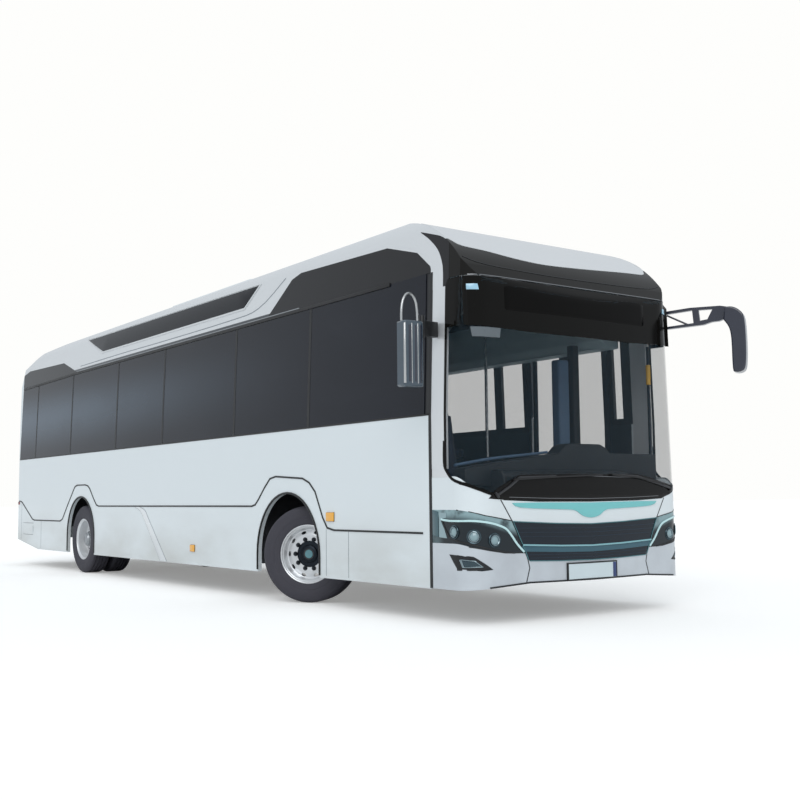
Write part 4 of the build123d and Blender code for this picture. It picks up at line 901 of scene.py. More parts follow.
def prism(name, outline, low, high, bevel=0.0, segments=3, place=None):
    """An upright block of an (x, y) outline from low to high."""
    place = place or (lambda a, b, c: (a, b, c))
    piece = closed_loop(name, outline, lambda a, b: place(a, b, low))
    edit_whole()
    bpy.ops.mesh.edge_face_add()
    reach = Vector(place(0, 0, high)) - Vector(place(0, 0, low))
    bpy.ops.mesh.extrude_region_move(TRANSFORM_OT_translate={"value": reach})
    leave_edit()
    outward(piece)
    soften(piece, bevel, segments)
    return piece


def from_side(along, height, across):
    """Place of a point of a prism whose outline is drawn from the side."""
    return across, along, height


def from_front(across, height, along):
    """Place of a point of a prism whose outline is drawn from the front."""
    return across, along, height


def rod(name, start, end, radius, sides=16, bevel=0.0):
    """A round bar between two points."""
    start, end = Vector(start), Vector(end)
    turn = (end - start).to_track_quat("Z", "Y").to_euler()
    alone()
    bpy.ops.mesh.primitive_cylinder_add(
        vertices=sides, radius=radius, depth=(end - start).length, location=(start + end) / 2,
        rotation=turn,
    )
    piece = name_piece(name)
    bake_place()
    soften(piece, bevel)
    return piece


def tube(name, points, radius, sides=3):
    """A bent round tube along the points."""
    curve = bpy.data.curves.new(name, "CURVE")
    curve.dimensions = "3D"
    curve.bevel_depth = radius
    curve.bevel_resolution = sides
    curve.use_fill_caps = True
    line = curve.splines.new("POLY")
    line.points.add(len(points) - 1)
    for slot, point in zip(line.points, points):
        slot.co = (*point, 1)
    piece = bpy.data.objects.new(name, curve)
    bpy.context.collection.objects.link(piece)
    pick(piece)
    bpy.ops.object.convert(target="MESH")
    piece = name_piece(name)
    soften(piece, 0, angle=50)
    return piece


# Profiles of the wheels: radius, and distance out from the wheel's middle
TYRE = [
    (0.281, 0.113), (0.300, 0.1255), (0.306, 0.1290), (0.330, 0.1345), (0.352, 0.1368), (0.356, 0.1350),
    (0.361, 0.1372), (0.392, 0.1375), (0.422, 0.1352), (0.426, 0.1330), (0.431, 0.1335), (0.455, 0.1265),
    (0.470, 0.1165), (0.4785, 0.1040), (0.4810, 0.0900), (0.4818, 0.0800), (0.471, 0.0780),
    (0.471, 0.0690), (0.4818, 0.0670), (0.482, 0.0300), (0.471, 0.0280), (0.471, 0.0180),
    (0.482, 0.0160),
]
TYRE = TYRE + [(radius, -along) for radius, along in TYRE[::-1]]
FRONT_RIM = [
    (0.2795, 0.108), (0.293, 0.116), (0.2935, 0.121), (0.288, 0.1235), (0.281, 0.120), (0.276, 0.111),
    (0.268, 0.106), (0.262, 0.100), (0.259, 0.082), (0.253, 0.062), (0.246, 0.053), (0.236, 0.050),
    (0.222, 0.055), (0.203, 0.066), (0.190, 0.071), (0.120, 0.071), (0.120, 0.055), (0.190, 0.055),
    (0.215, 0.044), (0.240, 0.036), (0.252, 0.030), (0.256, -0.095), (0.268, -0.108), (0.290, -0.1235),
    (0.2935, -0.116), (0.2795, -0.106),
]
REAR_RIM = [
    (0.2795, 0.108), (0.293, 0.116), (0.2935, 0.121), (0.288, 0.1235), (0.281, 0.120), (0.276, 0.111),
    (0.268, 0.106), (0.262, 0.100), (0.259, 0.060), (0.255, 0.005), (0.248, -0.012), (0.236, -0.020),
    (0.218, -0.026), (0.200, -0.020), (0.186, -0.018), (0.110, -0.018), (0.110, -0.034), (0.186, -0.034),
    (0.215, -0.042), (0.246, -0.036), (0.258, -0.030), (0.256, -0.095), (0.268, -0.108),
    (0.290, -0.1235), (0.2935, -0.116), (0.2795, -0.106),
]
FRONT_HUB = [
    (0.001, 0.094), (0.034, 0.094), (0.038, 0.0945), (0.046, 0.0945), (0.050, 0.092), (0.062, 0.090),
    (0.078, 0.087), (0.088, 0.080), (0.092, 0.0735), (0.126, 0.0735), (0.132, 0.0715), (0.132, 0.066),
    (0.001, 0.066),
]
REAR_HUB = [
    (0.001, 0.093), (0.070, 0.093), (0.078, 0.089), (0.082, 0.080), (0.092, 0.076), (0.098, 0.068),
    (0.102, 0.010), (0.110, 0.000), (0.128, -0.006), (0.132, -0.012), (0.132, -0.022), (0.001, -0.022),
]


# Places of the wheels: middle of the outer rear wheel, front wheel's pin, and how far out from
# the pin its middle is; the front wheels stand turned
REAR_WHEEL = (1.1075, 3.07, 0.482)
FRONT_PIN = (0.8975, -2.92, 0.482)
PIN_TO_WHEEL = 0.21
TWIN_SPACING = 0.325
STEERED = math.radians(38)
NUTS = HAND_HOLES = 10


def round_the_axle(count, radius, make):
    """The same small form repeated round Z."""
    first = make(radius)
    parts = [first]
    for step in range(1, count):
        parts.append(duplicate(first, Matrix.Rotation(2 * math.pi * step / count, 4, "Z")))
    return parts


def hand_hole(radius):
    """Cutter of one oval hole in a rim."""
    alone()
    bpy.ops.mesh.primitive_cylinder_add(vertices=24, radius=0.022, depth=0.3, location=(radius, 0, 0.0))
    piece = name_piece("hand_hole")
    piece.scale = (0.72, 1.25, 1.0)
    bpy.ops.object.transform_apply(location=True, scale=True)
    return piece


def add_nuts(name, radius, level):
    """A ring of nuts, each with its washer and stud, on a rim's face."""

    def nut(at):
        alone()
        parts = []
        for part, sides, half, tall, lift in (
            ("nut", 6, 0.0185, 0.024, 0.012), ("washer", 20, 0.023, 0.006, 0.003),
            ("stud", 16, 0.010, 0.034, 0.017),
        ):
            bpy.ops.mesh.primitive_cylinder_add(
                vertices=sides, radius=half, depth=tall, location=(at, 0, level + lift)
            )
            parts.append(name_piece(part))
        piece = join("nut", parts)
        bpy.ops.object.transform_apply(location=True)
        soften(piece, 0.0015, 1)
        return piece

    return join(name, round_the_axle(NUTS, radius, nut))


def wheel_matrix(side, rear):
    """Place of a wheel's middle, its Z along the axle, outwards."""
    if rear:
        place = Matrix.Translation((side * REAR_WHEEL[0], *REAR_WHEEL[1:]))
        return place @ Matrix(((0, 0, side), (-side, 0, 0), (0, -1, 0))).to_4x4()
    out = Vector((side * math.cos(STEERED), side * math.sin(STEERED), 0))
    along = Vector((side * math.sin(STEERED), -side * math.cos(STEERED), 0))
    third = out.cross(along)
    place = Vector((side * FRONT_PIN[0], *FRONT_PIN[1:])) + out * PIN_TO_WHEEL
    return Matrix.Translation(place) @ Matrix((along, third, out)).transposed().to_4x4()


def add_wheels():
    """Tyres, rims, hubs and nuts. The rear wheels are twins, the inner one's rim turned about."""
    tyre = turned("tyre", TYRE, 120, 24)
    rims, hubs, nuts = [], [], []
    for profile, hub, level in ((FRONT_RIM, FRONT_HUB, 0.071), (REAR_RIM, REAR_HUB, -0.018)):
        rim = turned("rim", profile, 96, 28)
        cutters = join("cutters", round_the_axle(HAND_HOLES, 0.219, hand_hole))
        apply(rim, "BOOLEAN", operation="DIFFERENCE", object=cutters, solver="EXACT")
        bpy.data.objects.remove(cutters)
        soften(rim, 0.0015, 1, 40)
        rims.append(rim)
        hubs.append(turned("hub", hub, 64, 30))
        nuts.append(add_nuts("nuts", 0.150, level))
    lens = turned("lens", [(0.001, 0.0975), (0.040, 0.0965), (0.044, 0.093), (0.001, 0.093)], 40)
    flip = Matrix.Rotation(math.pi, 4, "X")
    twin = Matrix.Translation((0, 0, -TWIN_SPACING))
    for side, word in ((-1, "right"), (1, "left")):
        spot = wheel_matrix(side, False)
        body = f"wheel_front_{word}"
        for source, finish, name, nodes in (
            (tyre, "tyre_black", "tyre", (f"tyre_front_{word}",)),
            (rims[0], "rim_silver", "rim", (f"rim_front_{word}",)), (hubs[0], "hub_dark", "hub", ()),
            (nuts[0], "nut_dark", "nuts", ()), (lens, "hub_lens", "hub_lens", ()),
        ):
            duplicate(source, spot)
            settle(name_piece(f"{name}_front_{word}_detail"), finish, body, nodes)
        spot = wheel_matrix(side, True)
        body = f"wheel_rear_{word}"
        pair = [duplicate(tyre, spot), duplicate(tyre, spot @ twin)]
        assemble(
            f"tyres_rear_{word}_detail", pair, "tyre_black", body=body,
            stands_for=(f"tyres_rear_{word}",),
        )
        pair = [duplicate(rims[1], spot), duplicate(rims[1], spot @ twin @ flip)]
        assemble(
            f"rims_rear_{word}_detail", pair, "rim_silver", body=body, stands_for=(f"rims_rear_{word}",)
        )
        for source, finish, name in ((hubs[1], "hub_steel", "hub"), (nuts[1], "nut_dark", "nuts")):
            duplicate(source, spot)
            settle(name_piece(f"{name}_rear_{word}_detail"), finish, body)
    for source in [tyre, lens] + rims + hubs + nuts:
        bpy.data.objects.remove(source)


add_wheels()


# Mirrors
def add_left_mirror():
    """A lattice arm that sweeps down into the head."""
    start, way = Vector((1.225, back(-0.07), 0)), Vector((0.475, -0.795, 0)).normalized()
    across = Vector((way.y, -way.x, 0))

    def place(a, b, c):
        return tuple(start + way * a + across * c + Vector((0, 0, b)))

    outline = [
        (0.0, 2.775), (0.28, 2.800), (0.53, 2.822), (0.81, 2.821), (0.88, 2.806), (0.88, 2.74),
        (0.84, 2.690), (0.80, 2.676), (0.73, 2.672), (0.654, 2.650), (0.504, 2.641), (0.276, 2.628),
        (0.0, 2.600),
    ]
    arm = prism("arm", outline, -0.028, 0.028, 0.0, place=place)
    for hole in (
        [(0.30, 2.775), (0.55, 2.797), (0.56, 2.672), (0.30, 2.652)],
        [(0.61, 2.795), (0.74, 2.795), (0.69, 2.70), (0.62, 2.69)],
    ):
        cutter = prism("cutter", hole, -0.2, 0.2, place=place)
        apply(arm, "BOOLEAN", operation="DIFFERENCE", object=cutter, solver="EXACT")
        bpy.data.objects.remove(cutter)
    soften(arm, 0.007, 3, 40)
    brace = rod("brace", place(0.31, 2.765, 0), place(0.50, 2.665, 0), 0.009, 12)
    foot = prism(
        "foot", [(-0.02, 2.80), (0.07, 2.81), (0.07, 2.59), (-0.02, 2.58)], -0.05, 0.05, 0.012,
        place=place,
    )
    arm = join("arm", [arm, brace, foot])
    head = prism(
        "head",
        smooth_path(
            [
                (0.86, 2.80), (0.93, 2.796), (0.995, 2.755), (1.032, 2.68), (1.04, 2.43), (1.03, 2.24),
                (1.0, 2.185), (0.935, 2.178), (0.912, 2.22), (0.908, 2.48), (0.89, 2.60), (0.84, 2.68),
            ],
            3,
        ),
        -0.085, 0.085, 0.0, place=place,
    )
    soften(head, 0.030, 5, 40)
    assemble(
        "mirror_left_shell", [arm, head], "mirror_gloss", stands_for=("mirror_left",),
        slot="mirror_black",
    )
    face = prism(
        "face", [(0.920, 2.24), (1.018, 2.24), (1.020, 2.62), (0.905, 2.62)], -0.087, -0.084, 0.0,
        place=place,
    )
    assemble("mirror_left_glass", [face], "mirror_face")


def add_right_mirror():
    """A ribbed upright head, hung from a bent tube on a bracket by the front post."""
    middle = Vector((-1.63, back(-0.23), 0))

    def about(points):
        return [(middle.x + x, middle.y + y) for x, y in points]

    outline = []
    for step in range(25):
        turn = math.pi * step / 24
        outline.append(
            (middle.x - 0.098 * math.cos(turn), middle.y - 0.028 - 0.036 * math.sin(turn) ** 0.6)
        )
    outline += about([(0.098, 0.050), (0.085, 0.062), (-0.085, 0.062), (-0.098, 0.050)])
    head = prism("head", outline, 1.925, 2.465)
    soften(head, 0.022, 4, 50)
    ribs = []
    for low, high in ((-0.060, -0.040), (-0.004, 0.016)):
        outline = about([(low, -0.066), (high, -0.066), (high, -0.050), (low, -0.050)])
        ribs.append(prism("rib", outline, 1.965, 2.425, 0.004))
    assemble(
        "mirror_right_shell", [head], "mirror_pale", stands_for=("mirror_right",),
        slot="mirror_black",
    )
    assemble("mirror_right_ribs", ribs, "mirror_gloss")
    outline = about([(0.052, -0.066), (0.097, -0.045), (0.101, -0.010), (0.06, -0.03)])
    edge = prism("edge", outline, 1.955, 2.435, 0.004)
    assemble("mirror_right_edge", [edge], "mirror_gloss")
    lines = []
    for shift, dip, thick in ((0.088, 0.018, 0.011), (0.030, 0.0, 0.0045), (-0.030, 0.0, 0.0045)):
        foot = (middle.x - shift, middle.y - 0.062 + dip, 1.95)
        lines.append(rod("line", foot, (foot[0], foot[1], 2.44), thick, 12, 0.002))
    assemble("mirror_right_lines", lines, "rail_steel")
    path = [
        (-1.675, 2.44), (-1.675, 2.56), (-1.655, 2.65), (-1.61, 2.705), (-1.555, 2.70), (-1.515, 2.65),
        (-1.50, 2.57), (-1.495, 2.46),
    ]
    bend = smooth_path(path, 4)
    loop = tube("loop", [(x, back(-0.17) + (x + 1.665) * 0.12, z) for x, z in bend], 0.010, 4)
    assemble("mirror_right_loop", [loop], "rail_steel")
    bracket = prism(
        "bracket",
        [(-1.46, back(-0.165)), (-1.27, back(-0.14)), (-1.27, back(-0.075)), (-1.46, back(-0.12))], 2.37,
        2.50, 0.008,
    )
    knob = rod("knob", (-1.445, back(-0.143), 2.34), (-1.445, back(-0.143), 2.54), 0.024, 20, 0.004)
    link = rod("link", (-1.53, back(-0.19), 2.40), (-1.45, back(-0.143), 2.40), 0.014, 14)
    assemble("mirror_right_bracket", [bracket, knob, link], "hardware_black")
    glass_face = prism(
        "mirror_right_glass",
        [(-1.712, back(-0.168)), (-1.548, back(-0.168)), (-1.548, back(-0.164)), (-1.712, back(-0.164))],
        1.955, 2.435, 0.001,
    )
    settle(glass_face, "mirror_face")


add_left_mirror()
add_right_mirror()


# Lamps of the front
def on_skin(place):
    """The nearest point of the body's outside to a place, and the way out of it."""
    spot, normal = skin.closest_point_on_mesh(Vector(place))[1:3]
    return spot, normal.normalized()


def dial(name, place, profile, sink=0.0):
    """A turned fitting set square on the body's outside."""
    spot, normal = on_skin(place)
    piece = turned(name, profile, 40, 30)
    turn = normal.to_track_quat("Z", "Y").to_matrix().to_4x4()
    piece.matrix_world = Matrix.Translation(spot - normal * sink) @ turn
    pick(piece)
    bake_place()
    return piece


# Profiles of a round lamp, radius and height, and the lamps' places on the left side
LAMP_RING = [
    (0.034, 0.001), (0.042, 0.001), (0.045, 0.004), (0.044, 0.010), (0.040, 0.012), (0.036, 0.009),
    (0.034, 0.004),
]
LAMP_LENS = [(0.001, 0.013), (0.012, 0.0115), (0.024, 0.008), (0.034, 0.003), (0.034, 0.0), (0.001, 0.0)]
LAMP_CELL = [(0.046, 0.0), (0.057, 0.0), (0.060, 0.003), (0.057, 0.006), (0.049, 0.005), (0.046, 0.003)]
LAMPS = ((1.272, back(-0.318), 0.752), (1.205, back(-0.486), 0.716), (1.052, back(-0.561), 0.686))


def add_headlamps():
    """Round lamps with rings and cells, light blades, borders and the markers at the sides."""
    rings, lenses, blades, cells, unders, pillars = ([] for made in range(6))
    for side in (-1, 1):
        for x, y, z in LAMPS:
            place = (side * x, y, z)
            rings.append(dial("ring", place, LAMP_RING))
            lenses.append(dial("lens", place, LAMP_LENS))
            cells.append(dial("cell", place, LAMP_CELL))
        blade = [
            (1.271, 0.842), (1.20, 0.842), (1.092, 0.825), (0.996, 0.799), (0.937, 0.773),
            (0.887, 0.723), (0.828, 0.649), (0.757, 0.582),
        ]
        path = smooth_path(sided(side, blade), 3)
        blades.append(stripe("blade", path, 0.017, "front", 0.007, pitch=0.03, bevel=0.002))
        under = [(1.271, 0.678), (1.216, 0.651), (1.096, 0.617), (0.951, 0.588), (0.85, 0.577)]
        path = smooth_path(sided(side, under), 3)
        unders.append(stripe("under", path, 0.010, "front", 0.005, pitch=0.03, bevel=0.001))
    for view in ("right", "left"):
        path = [(-0.150, 0.856), (-0.188, 0.848), (-0.267, 0.842), (-0.385, 0.842)]
        blades.append(stripe("blade", path, 0.017, view, 0.007, pitch=0.03, bevel=0.002))
        path = [(-0.160, 0.850), (-0.205, 0.775), (-0.262, 0.710), (-0.370, 0.678)]
        unders.append(stripe("under", path, 0.012, view, 0.005, pitch=0.03, bevel=0.001))
        pillar = [
            (-0.125, 0.912), (-0.220, 0.905), (-0.215, 0.865), (-0.160, 0.862), (-0.150, 0.835),
            (-0.195, 0.770), (-0.225, 0.700), (-0.125, 0.706),
        ]
        pillars.append(panel("pillar", pillar, view, 0.003, pitch=0.04))
    assemble("lamp_rings", rings, "lamp_chrome")
    assemble("lamp_lenses", lenses, "lens_pale")
    assemble("lamp_cells", cells, "lamp_shell")
    assemble("lamp_blades", blades, "blade_light")
    assemble("lamp_unders", unders, "joint_black")
    assemble("lamp_pillars", pillars, "lens_pale")
    markers, borders = [], []
    for side, view in ((-1, "right"), (1, "left")):
        quad = [(-0.036, 0.930), (-0.112, 0.916), (-0.112, 0.708), (-0.036, 0.722)]
        markers.append(panel("marker", quad, view, 0.004, pitch=0.05, bevel=0.001))
        rim = sided(
            side,
            [
                (1.274, 0.93), (1.13, 0.884), (0.871, 0.838), (0.735, 0.575), (0.944, 0.580),
                (1.096, 0.603), (1.233, 0.633),
            ],
        )
        borders.append(stripe("border", rim, 0.007, "front", 0.003, pitch=0.05, bevel=0.001))
    assemble("lamp_markers", markers, "marker_teal")
    assemble("lamp_borders", borders, "joint_black")


def add_fog_lamps():
    """Dark swept housings, each with a silver-rimmed lamp."""
    shells, rims, lenses = [], [], []
    for side in (-1, 1):
        shell = [
            (1.273, 0.568), (1.21, 0.557), (1.145, 0.507), (1.078, 0.452), (1.204, 0.444),
            (1.273, 0.443),
        ]
        shells.append(panel("fog_shell", sided(side, shell), "front", 0.004, pitch=0.04, bevel=0.001))
        lens = sided(side, ((1.258, 0.532), (1.198, 0.521), (1.150, 0.475), (1.250, 0.470)))
        lenses.append(panel("fog_lens", lens, "front", 0.008, pitch=0.03, bevel=0.002))
        rims.append(stripe("fog_rim", lens + [lens[0]], 0.007, "front", 0.011, pitch=0.03, bevel=0.002))
    for view in ("right", "left"):
        wrap = [(-0.256, 0.570), (-0.40, 0.564), (-0.40, 0.444), (-0.363, 0.443)]
        shells.append(panel("fog_wrap", wrap, view, 0.004, pitch=0.04, bevel=0.001))
    assemble("fog_shells", shells, "joint_black")
    assemble("fog_rims", rims, "lamp_chrome")
    assemble("fog_glasses", lenses, "lamp_shell")


def add_front_dress():
    """Print round the screen, the display window, the cap's silver edge and rounded corners."""
    plate_end = prism(
        "plate_end",
        [(0.245, back(-0.6195)), (0.283, back(-0.6195)), (0.283, back(-0.617)), (0.245, back(-0.617))],
        0.338, 0.462, 0.0006,
    )
    settle(plate_end, "plate_blue")
    head = [
        (-1.252, 2.44), (-1.252, 2.80), (-1.225, 2.852), (1.225, 2.852), (1.252, 2.80), (1.252, 2.44),
        (0.6, 2.415), (-0.6, 2.415),
    ]
    prints = [panel("print", head, "front", 0.0022, pitch=0.05)]
    for view in ("right", "left"):
        wrap = [(-0.205, 2.445), (-0.205, 2.80), (-0.235, 2.852), (-0.40, 2.852), (-0.40, 2.442)]
        prints.append(panel("wrap", wrap, view, 0.0022, pitch=0.04))
        edge = [(-0.205, 1.27), (-0.205, 2.45), (-0.232, 2.45), (-0.232, 1.24)]
        prints.append(panel("edge", edge, view, 0.002, pitch=0.05))
        sweep = [(-0.202, 1.50), (-0.198, 1.325), (-0.223, 1.258), (-0.301, 1.184), (-0.405, 1.146)]
        prints.append(stripe("sweep", smooth_path(sweep, 3), 0.024, view, 0.0035, pitch=0.04))
    for side in (-1, 1):
        sweep = sided(side, [(1.259, 1.147), (1.195, 1.108), (1.095, 1.064), (0.99, 1.034)])
        prints.append(stripe("sweep", smooth_path(sweep, 3), 0.024, "front", 0.0035, pitch=0.04))
    assemble("screen_print", prints, "print_black")
    fillets = []
    for side in (-1, 1):
        fillet = [(-0.034, 1.300), (-0.192, 1.300), (-0.200, 1.262), (-0.262, 1.196), (-0.034, 1.196)]
        low, high = sorted((side * 1.258, side * 1.2768))
        fillets.append(
            prism("fillet", fillet, low, high, 0.003, 2, place=lambda a, b, c: (c, back(a), b))
        )
    assemble("hoop_feet", fillets, "hoop_silver")
    window = [
        (-0.87, 2.60), (-0.85, 2.585), (0.80, 2.585), (0.82, 2.60), (0.82, 2.775), (0.80, 2.79),
        (-0.85, 2.79), (-0.87, 2.775),
    ]
    settle(panel("display_window", window, "front", 0.0042, pitch=0.05, bevel=0.0008), "display_black")
    lip = smooth_path(
        [
            (-1.221, 3.29), (-1.218, 3.235), (-1.182, 3.187), (-1.113, 3.145), (-0.875, 3.127),
            (-0.568, 3.088), (-0.254, 3.069), (0.12, 3.083), (0.514, 3.108), (0.865, 3.132),
            (1.113, 3.145), (1.182, 3.187), (1.218, 3.235), (1.221, 3.29),
        ],
        3,
    )
    silver = lip + [(1.19, 3.42), (0.6, 3.42), (-0.6, 3.42), (-1.19, 3.42)]
    settle(
        panel("cap_silver", silver, "front", 0.004, pitch=0.05, bevel=0.001, reach=3.0), "hoop_silver"
    )
    line = smooth_path(
        [
            (-1.20, 3.028), (-0.987, 2.978), (-0.342, 2.954), (0.367, 2.957), (0.983, 2.975),
            (1.20, 3.022),
        ],
        4,
    )
    settle(stripe("cap_crease", line, 0.010, "front", 0.003, pitch=0.05, reach=3.0), "joint_black")
    corners, rounds = [], []
    for side, view in ((-1, "right"), (1, "left")):
        curve = smooth_path(
            [
                (-0.171, 2.80), (-0.169, 2.926), (-0.153, 3.014), (-0.096, 3.129), (0.019, 3.239),
                (0.15, 3.328),
            ],
            4,
        )
        crest = smooth_path(
            [(0.15, 3.334), (0.02, 3.294), (-0.121, 3.248), (-0.20, 3.205), (-0.25, 3.165)], 3
        )
        corners.append(
            panel("corner", curve + crest + [(-0.25, 2.80)], view, 0.0012, pitch=0.03, reach=0.9)
        )
        curve = [
            (-0.012, 2.79), (-0.010, 2.944), (0.036, 3.057), (0.149, 3.148), (0.354, 3.237),
            (0.552, 3.261),
        ]
        rounds.append(
            panel(
                "round",
                smooth_path(curve, 4) + [(0.552, 3.30), (0.30, 3.30), (-0.045, 3.02), (-0.045, 2.79)],
                view, 0.0015, pitch=0.05, reach=0.9,
            )
        )
    assemble("cap_corners", corners, "black_gloss")
    assemble("hoop_rounds", rounds, "hoop_silver")


def add_wipers():
    """Flat blades with slim arms over them."""
    arms, blades = [], []
    for path in (
        [(-1.035, 1.040), (-0.90, 1.115), (-0.790, 1.190), (-0.40, 1.200)],
        [(1.095, 1.095), (0.90, 1.140), (0.600, 1.203), (0.36, 1.214)],
    ):
        arms.append(stripe("arm", path, 0.020, "front", 0.022, pitch=0.08, bevel=0.004))
        arms.append(
            stripe(
                "pivot", [path[0], (path[0][0] * 0.985, path[0][1] + 0.012)], 0.055, "front", 0.028,
                bevel=0.008,
            )
        )
    for path in (
        [(-0.86, 1.172), (-0.40, 1.196), (0.14, 1.214)], [(0.98, 1.142), (0.60, 1.196), (0.26, 1.218)]
    ):
        blades.append(stripe("blade", path, 0.014, "front", 0.030, pitch=0.06, bevel=0.003))
    assemble("wiper_arms", arms, "wiper_steel", stands_for=("wipers",), slot="hardware_black")
    assemble("wiper_blades", blades, "rubber_trim")


add_headlamps()
add_fog_lamps()
add_front_dress()
add_wipers()


# Cab and saloon
def add_cab():
    """Dashboard, dials, ticket machine, posts, wall and ducts, seen through the screen."""
    cover = prism(
        "cover",
        [
            (back(-0.50), 1.07), (back(-0.50), 1.215), (back(-0.455), 1.255), (back(-0.20), 1.265),
            (back(-0.12), 1.235), (back(-0.095), 1.07), (back(-0.11), 1.00), (back(-0.34), 1.00),
            (back(-0.39), 0.78), (back(-0.44), 0.78),
        ],
        -0.885, 0.62, 0.0, place=from_side,
    )
    soften(cover, 0.018, 4, 30)
    hood = prism(
        "hood",
        [
            (-1.16, 1.12), (-1.16, 1.27), (-0.90, 1.31), (-0.50, 1.36), (-0.10, 1.41), (-0.03, 1.475),
            (0.03, 1.50), (0.42, 1.50), (0.49, 1.47), (0.54, 1.42), (1.16, 1.42), (1.16, 1.12),
        ],
        back(-0.34), back(-0.17), place=from_front,
    )
    soften(hood, 0.016, 4, 20)
    assemble("dash_cover", [cover, hood], "cab_trim", stands_for=("dashboard",))
    trim = [(-1.151, 1.300), (-0.748, 1.360), (-0.29, 1.405), (-0.10, 1.425)]
    strip = tube("dash_strip", [(x, back(-0.185), z) for x, z in smooth_path(trim, 5)], 0.013, 3)
    settle(strip, "post_blue")
    dials = prism(
        "dials", [(-0.80, 1.27), (-0.78, 1.335), (-0.34, 1.335), (-0.32, 1.27)], back(-0.139),
        back(-0.130), 0.003, place=from_front,
    )
    settle(dials, "display_black")
    ticket = prism(
        "ticket", [(0.46, back(0.22)), (0.60, back(0.22)), (0.60, back(0.33)), (0.46, back(0.33))],
        0.725, 2.34,
    )
    soften(ticket, 0.02, 3, 30)
    settle(ticket, "post_blue")
    post = prism(
        "post", [(0.69, back(0.26)), (0.775, back(0.26)), (0.775, back(0.34)), (0.69, back(0.34))],
        0.725, 2.50, 0.010,
    )
    settle(post, "joint_black")
    wall = prism(
        "wall", [(-1.222, 0.725), (-0.34, 0.725), (-0.34, 1.95), (-0.42, 2.05), (-1.205, 2.05)],
        back(1.31), back(1.335), 0.006, place=from_front,
    )
    settle(wall, "cab_trim")
    rail = rod("rail", (1.15, back(-0.28), 1.41), (1.15, back(-0.28), 2.45), 0.014, 16)
    pole = rod("pole", (1.12, back(1.26), 0.80), (1.12, back(1.26), 2.47), 0.026, 20)
    assemble("door_rail", [rail, pole], "hub_dark")
    sleeve = rod("sleeve", (1.15, back(-0.28), 2.085), (1.15, back(-0.28), 2.275), 0.022, 20, 0.005)
    assemble("door_rail_sleeve", [sleeve], "grip_yellow")
    ducts = []
    for side in (-1, 1):
        profile = [(1.17, 2.475), (1.02, 2.480), (0.90, 2.55), (0.84, 2.66), (0.84, 2.90), (1.17, 2.90)]
        duct = prism("duct", sided(side, profile), back(0.10), back(9.7), place=from_front)
        soften(duct, 0.015, 3, 20)
        ducts.append(duct)
        ducts.append(
            prism(
                "slot", sided(side, ((1.00, 2.486), (1.04, 2.480), (1.04, 2.476), (1.00, 2.482))),
                back(0.3), back(9.4), place=from_front,
            )
        )
    assemble("ceiling_ducts", ducts, "duct_grey")
    blind = panel(
        "sun_blind", [(-1.17, 2.345), (-0.93, 2.345), (-0.92, 2.425), (-1.18, 2.425)], "front", 0.002,
        lift=-0.03, pitch=0.08,
    )
    settle(blind, "blind_grey")


def pad(name, low, high, crown, pinch, axis):
    """A stuffed pad: crowned across its face, its sides drawn in between the corners."""
    low, high = Vector(low), Vector(high)
    alone()
    bpy.ops.mesh.primitive_cube_add(size=1, location=(0, 0, 0))
    piece = name_piece(name)
    edit_whole()
    bpy.ops.mesh.subdivide(number_cuts=4)
    leave_edit()
    size, middle = high - low, (high + low) / 2
    for vertex in piece.data.vertices:
        share = vertex.co * 2
        others = [i for i in range(3) if i != axis]
        full = (1 - share[others[0]] ** 2) * (1 - share[others[1]] ** 2)
        if share[axis] > 0.99:
            share[axis] += crown * full / size[axis] * 2
        for i, j in (others, others[::-1]):
            if abs(share[i]) > 0.99:
                share[i] -= math.copysign(pinch * (1 - share[j] ** 2) / size[i] * 2, share[i])
        vertex.co = middle + Vector(share[i] * size[i] / 2 for i in range(3))
    apply(piece, "BEVEL", width=0.018, segments=2, limit_method="ANGLE", angle_limit=math.radians(50))
    apply(piece, "SUBSURF", levels=1)
    pick(piece)
    bpy.ops.object.shade_smooth()
    return piece


def box_of(name):
    """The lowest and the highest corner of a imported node."""
    node = frame["nodes"][name]
    corners = [node.matrix_world @ Vector(corner) for corner in node.bound_box]
    return [Vector(end(corner[i] for corner in corners) for i in range(3)) for end in (min, max)]


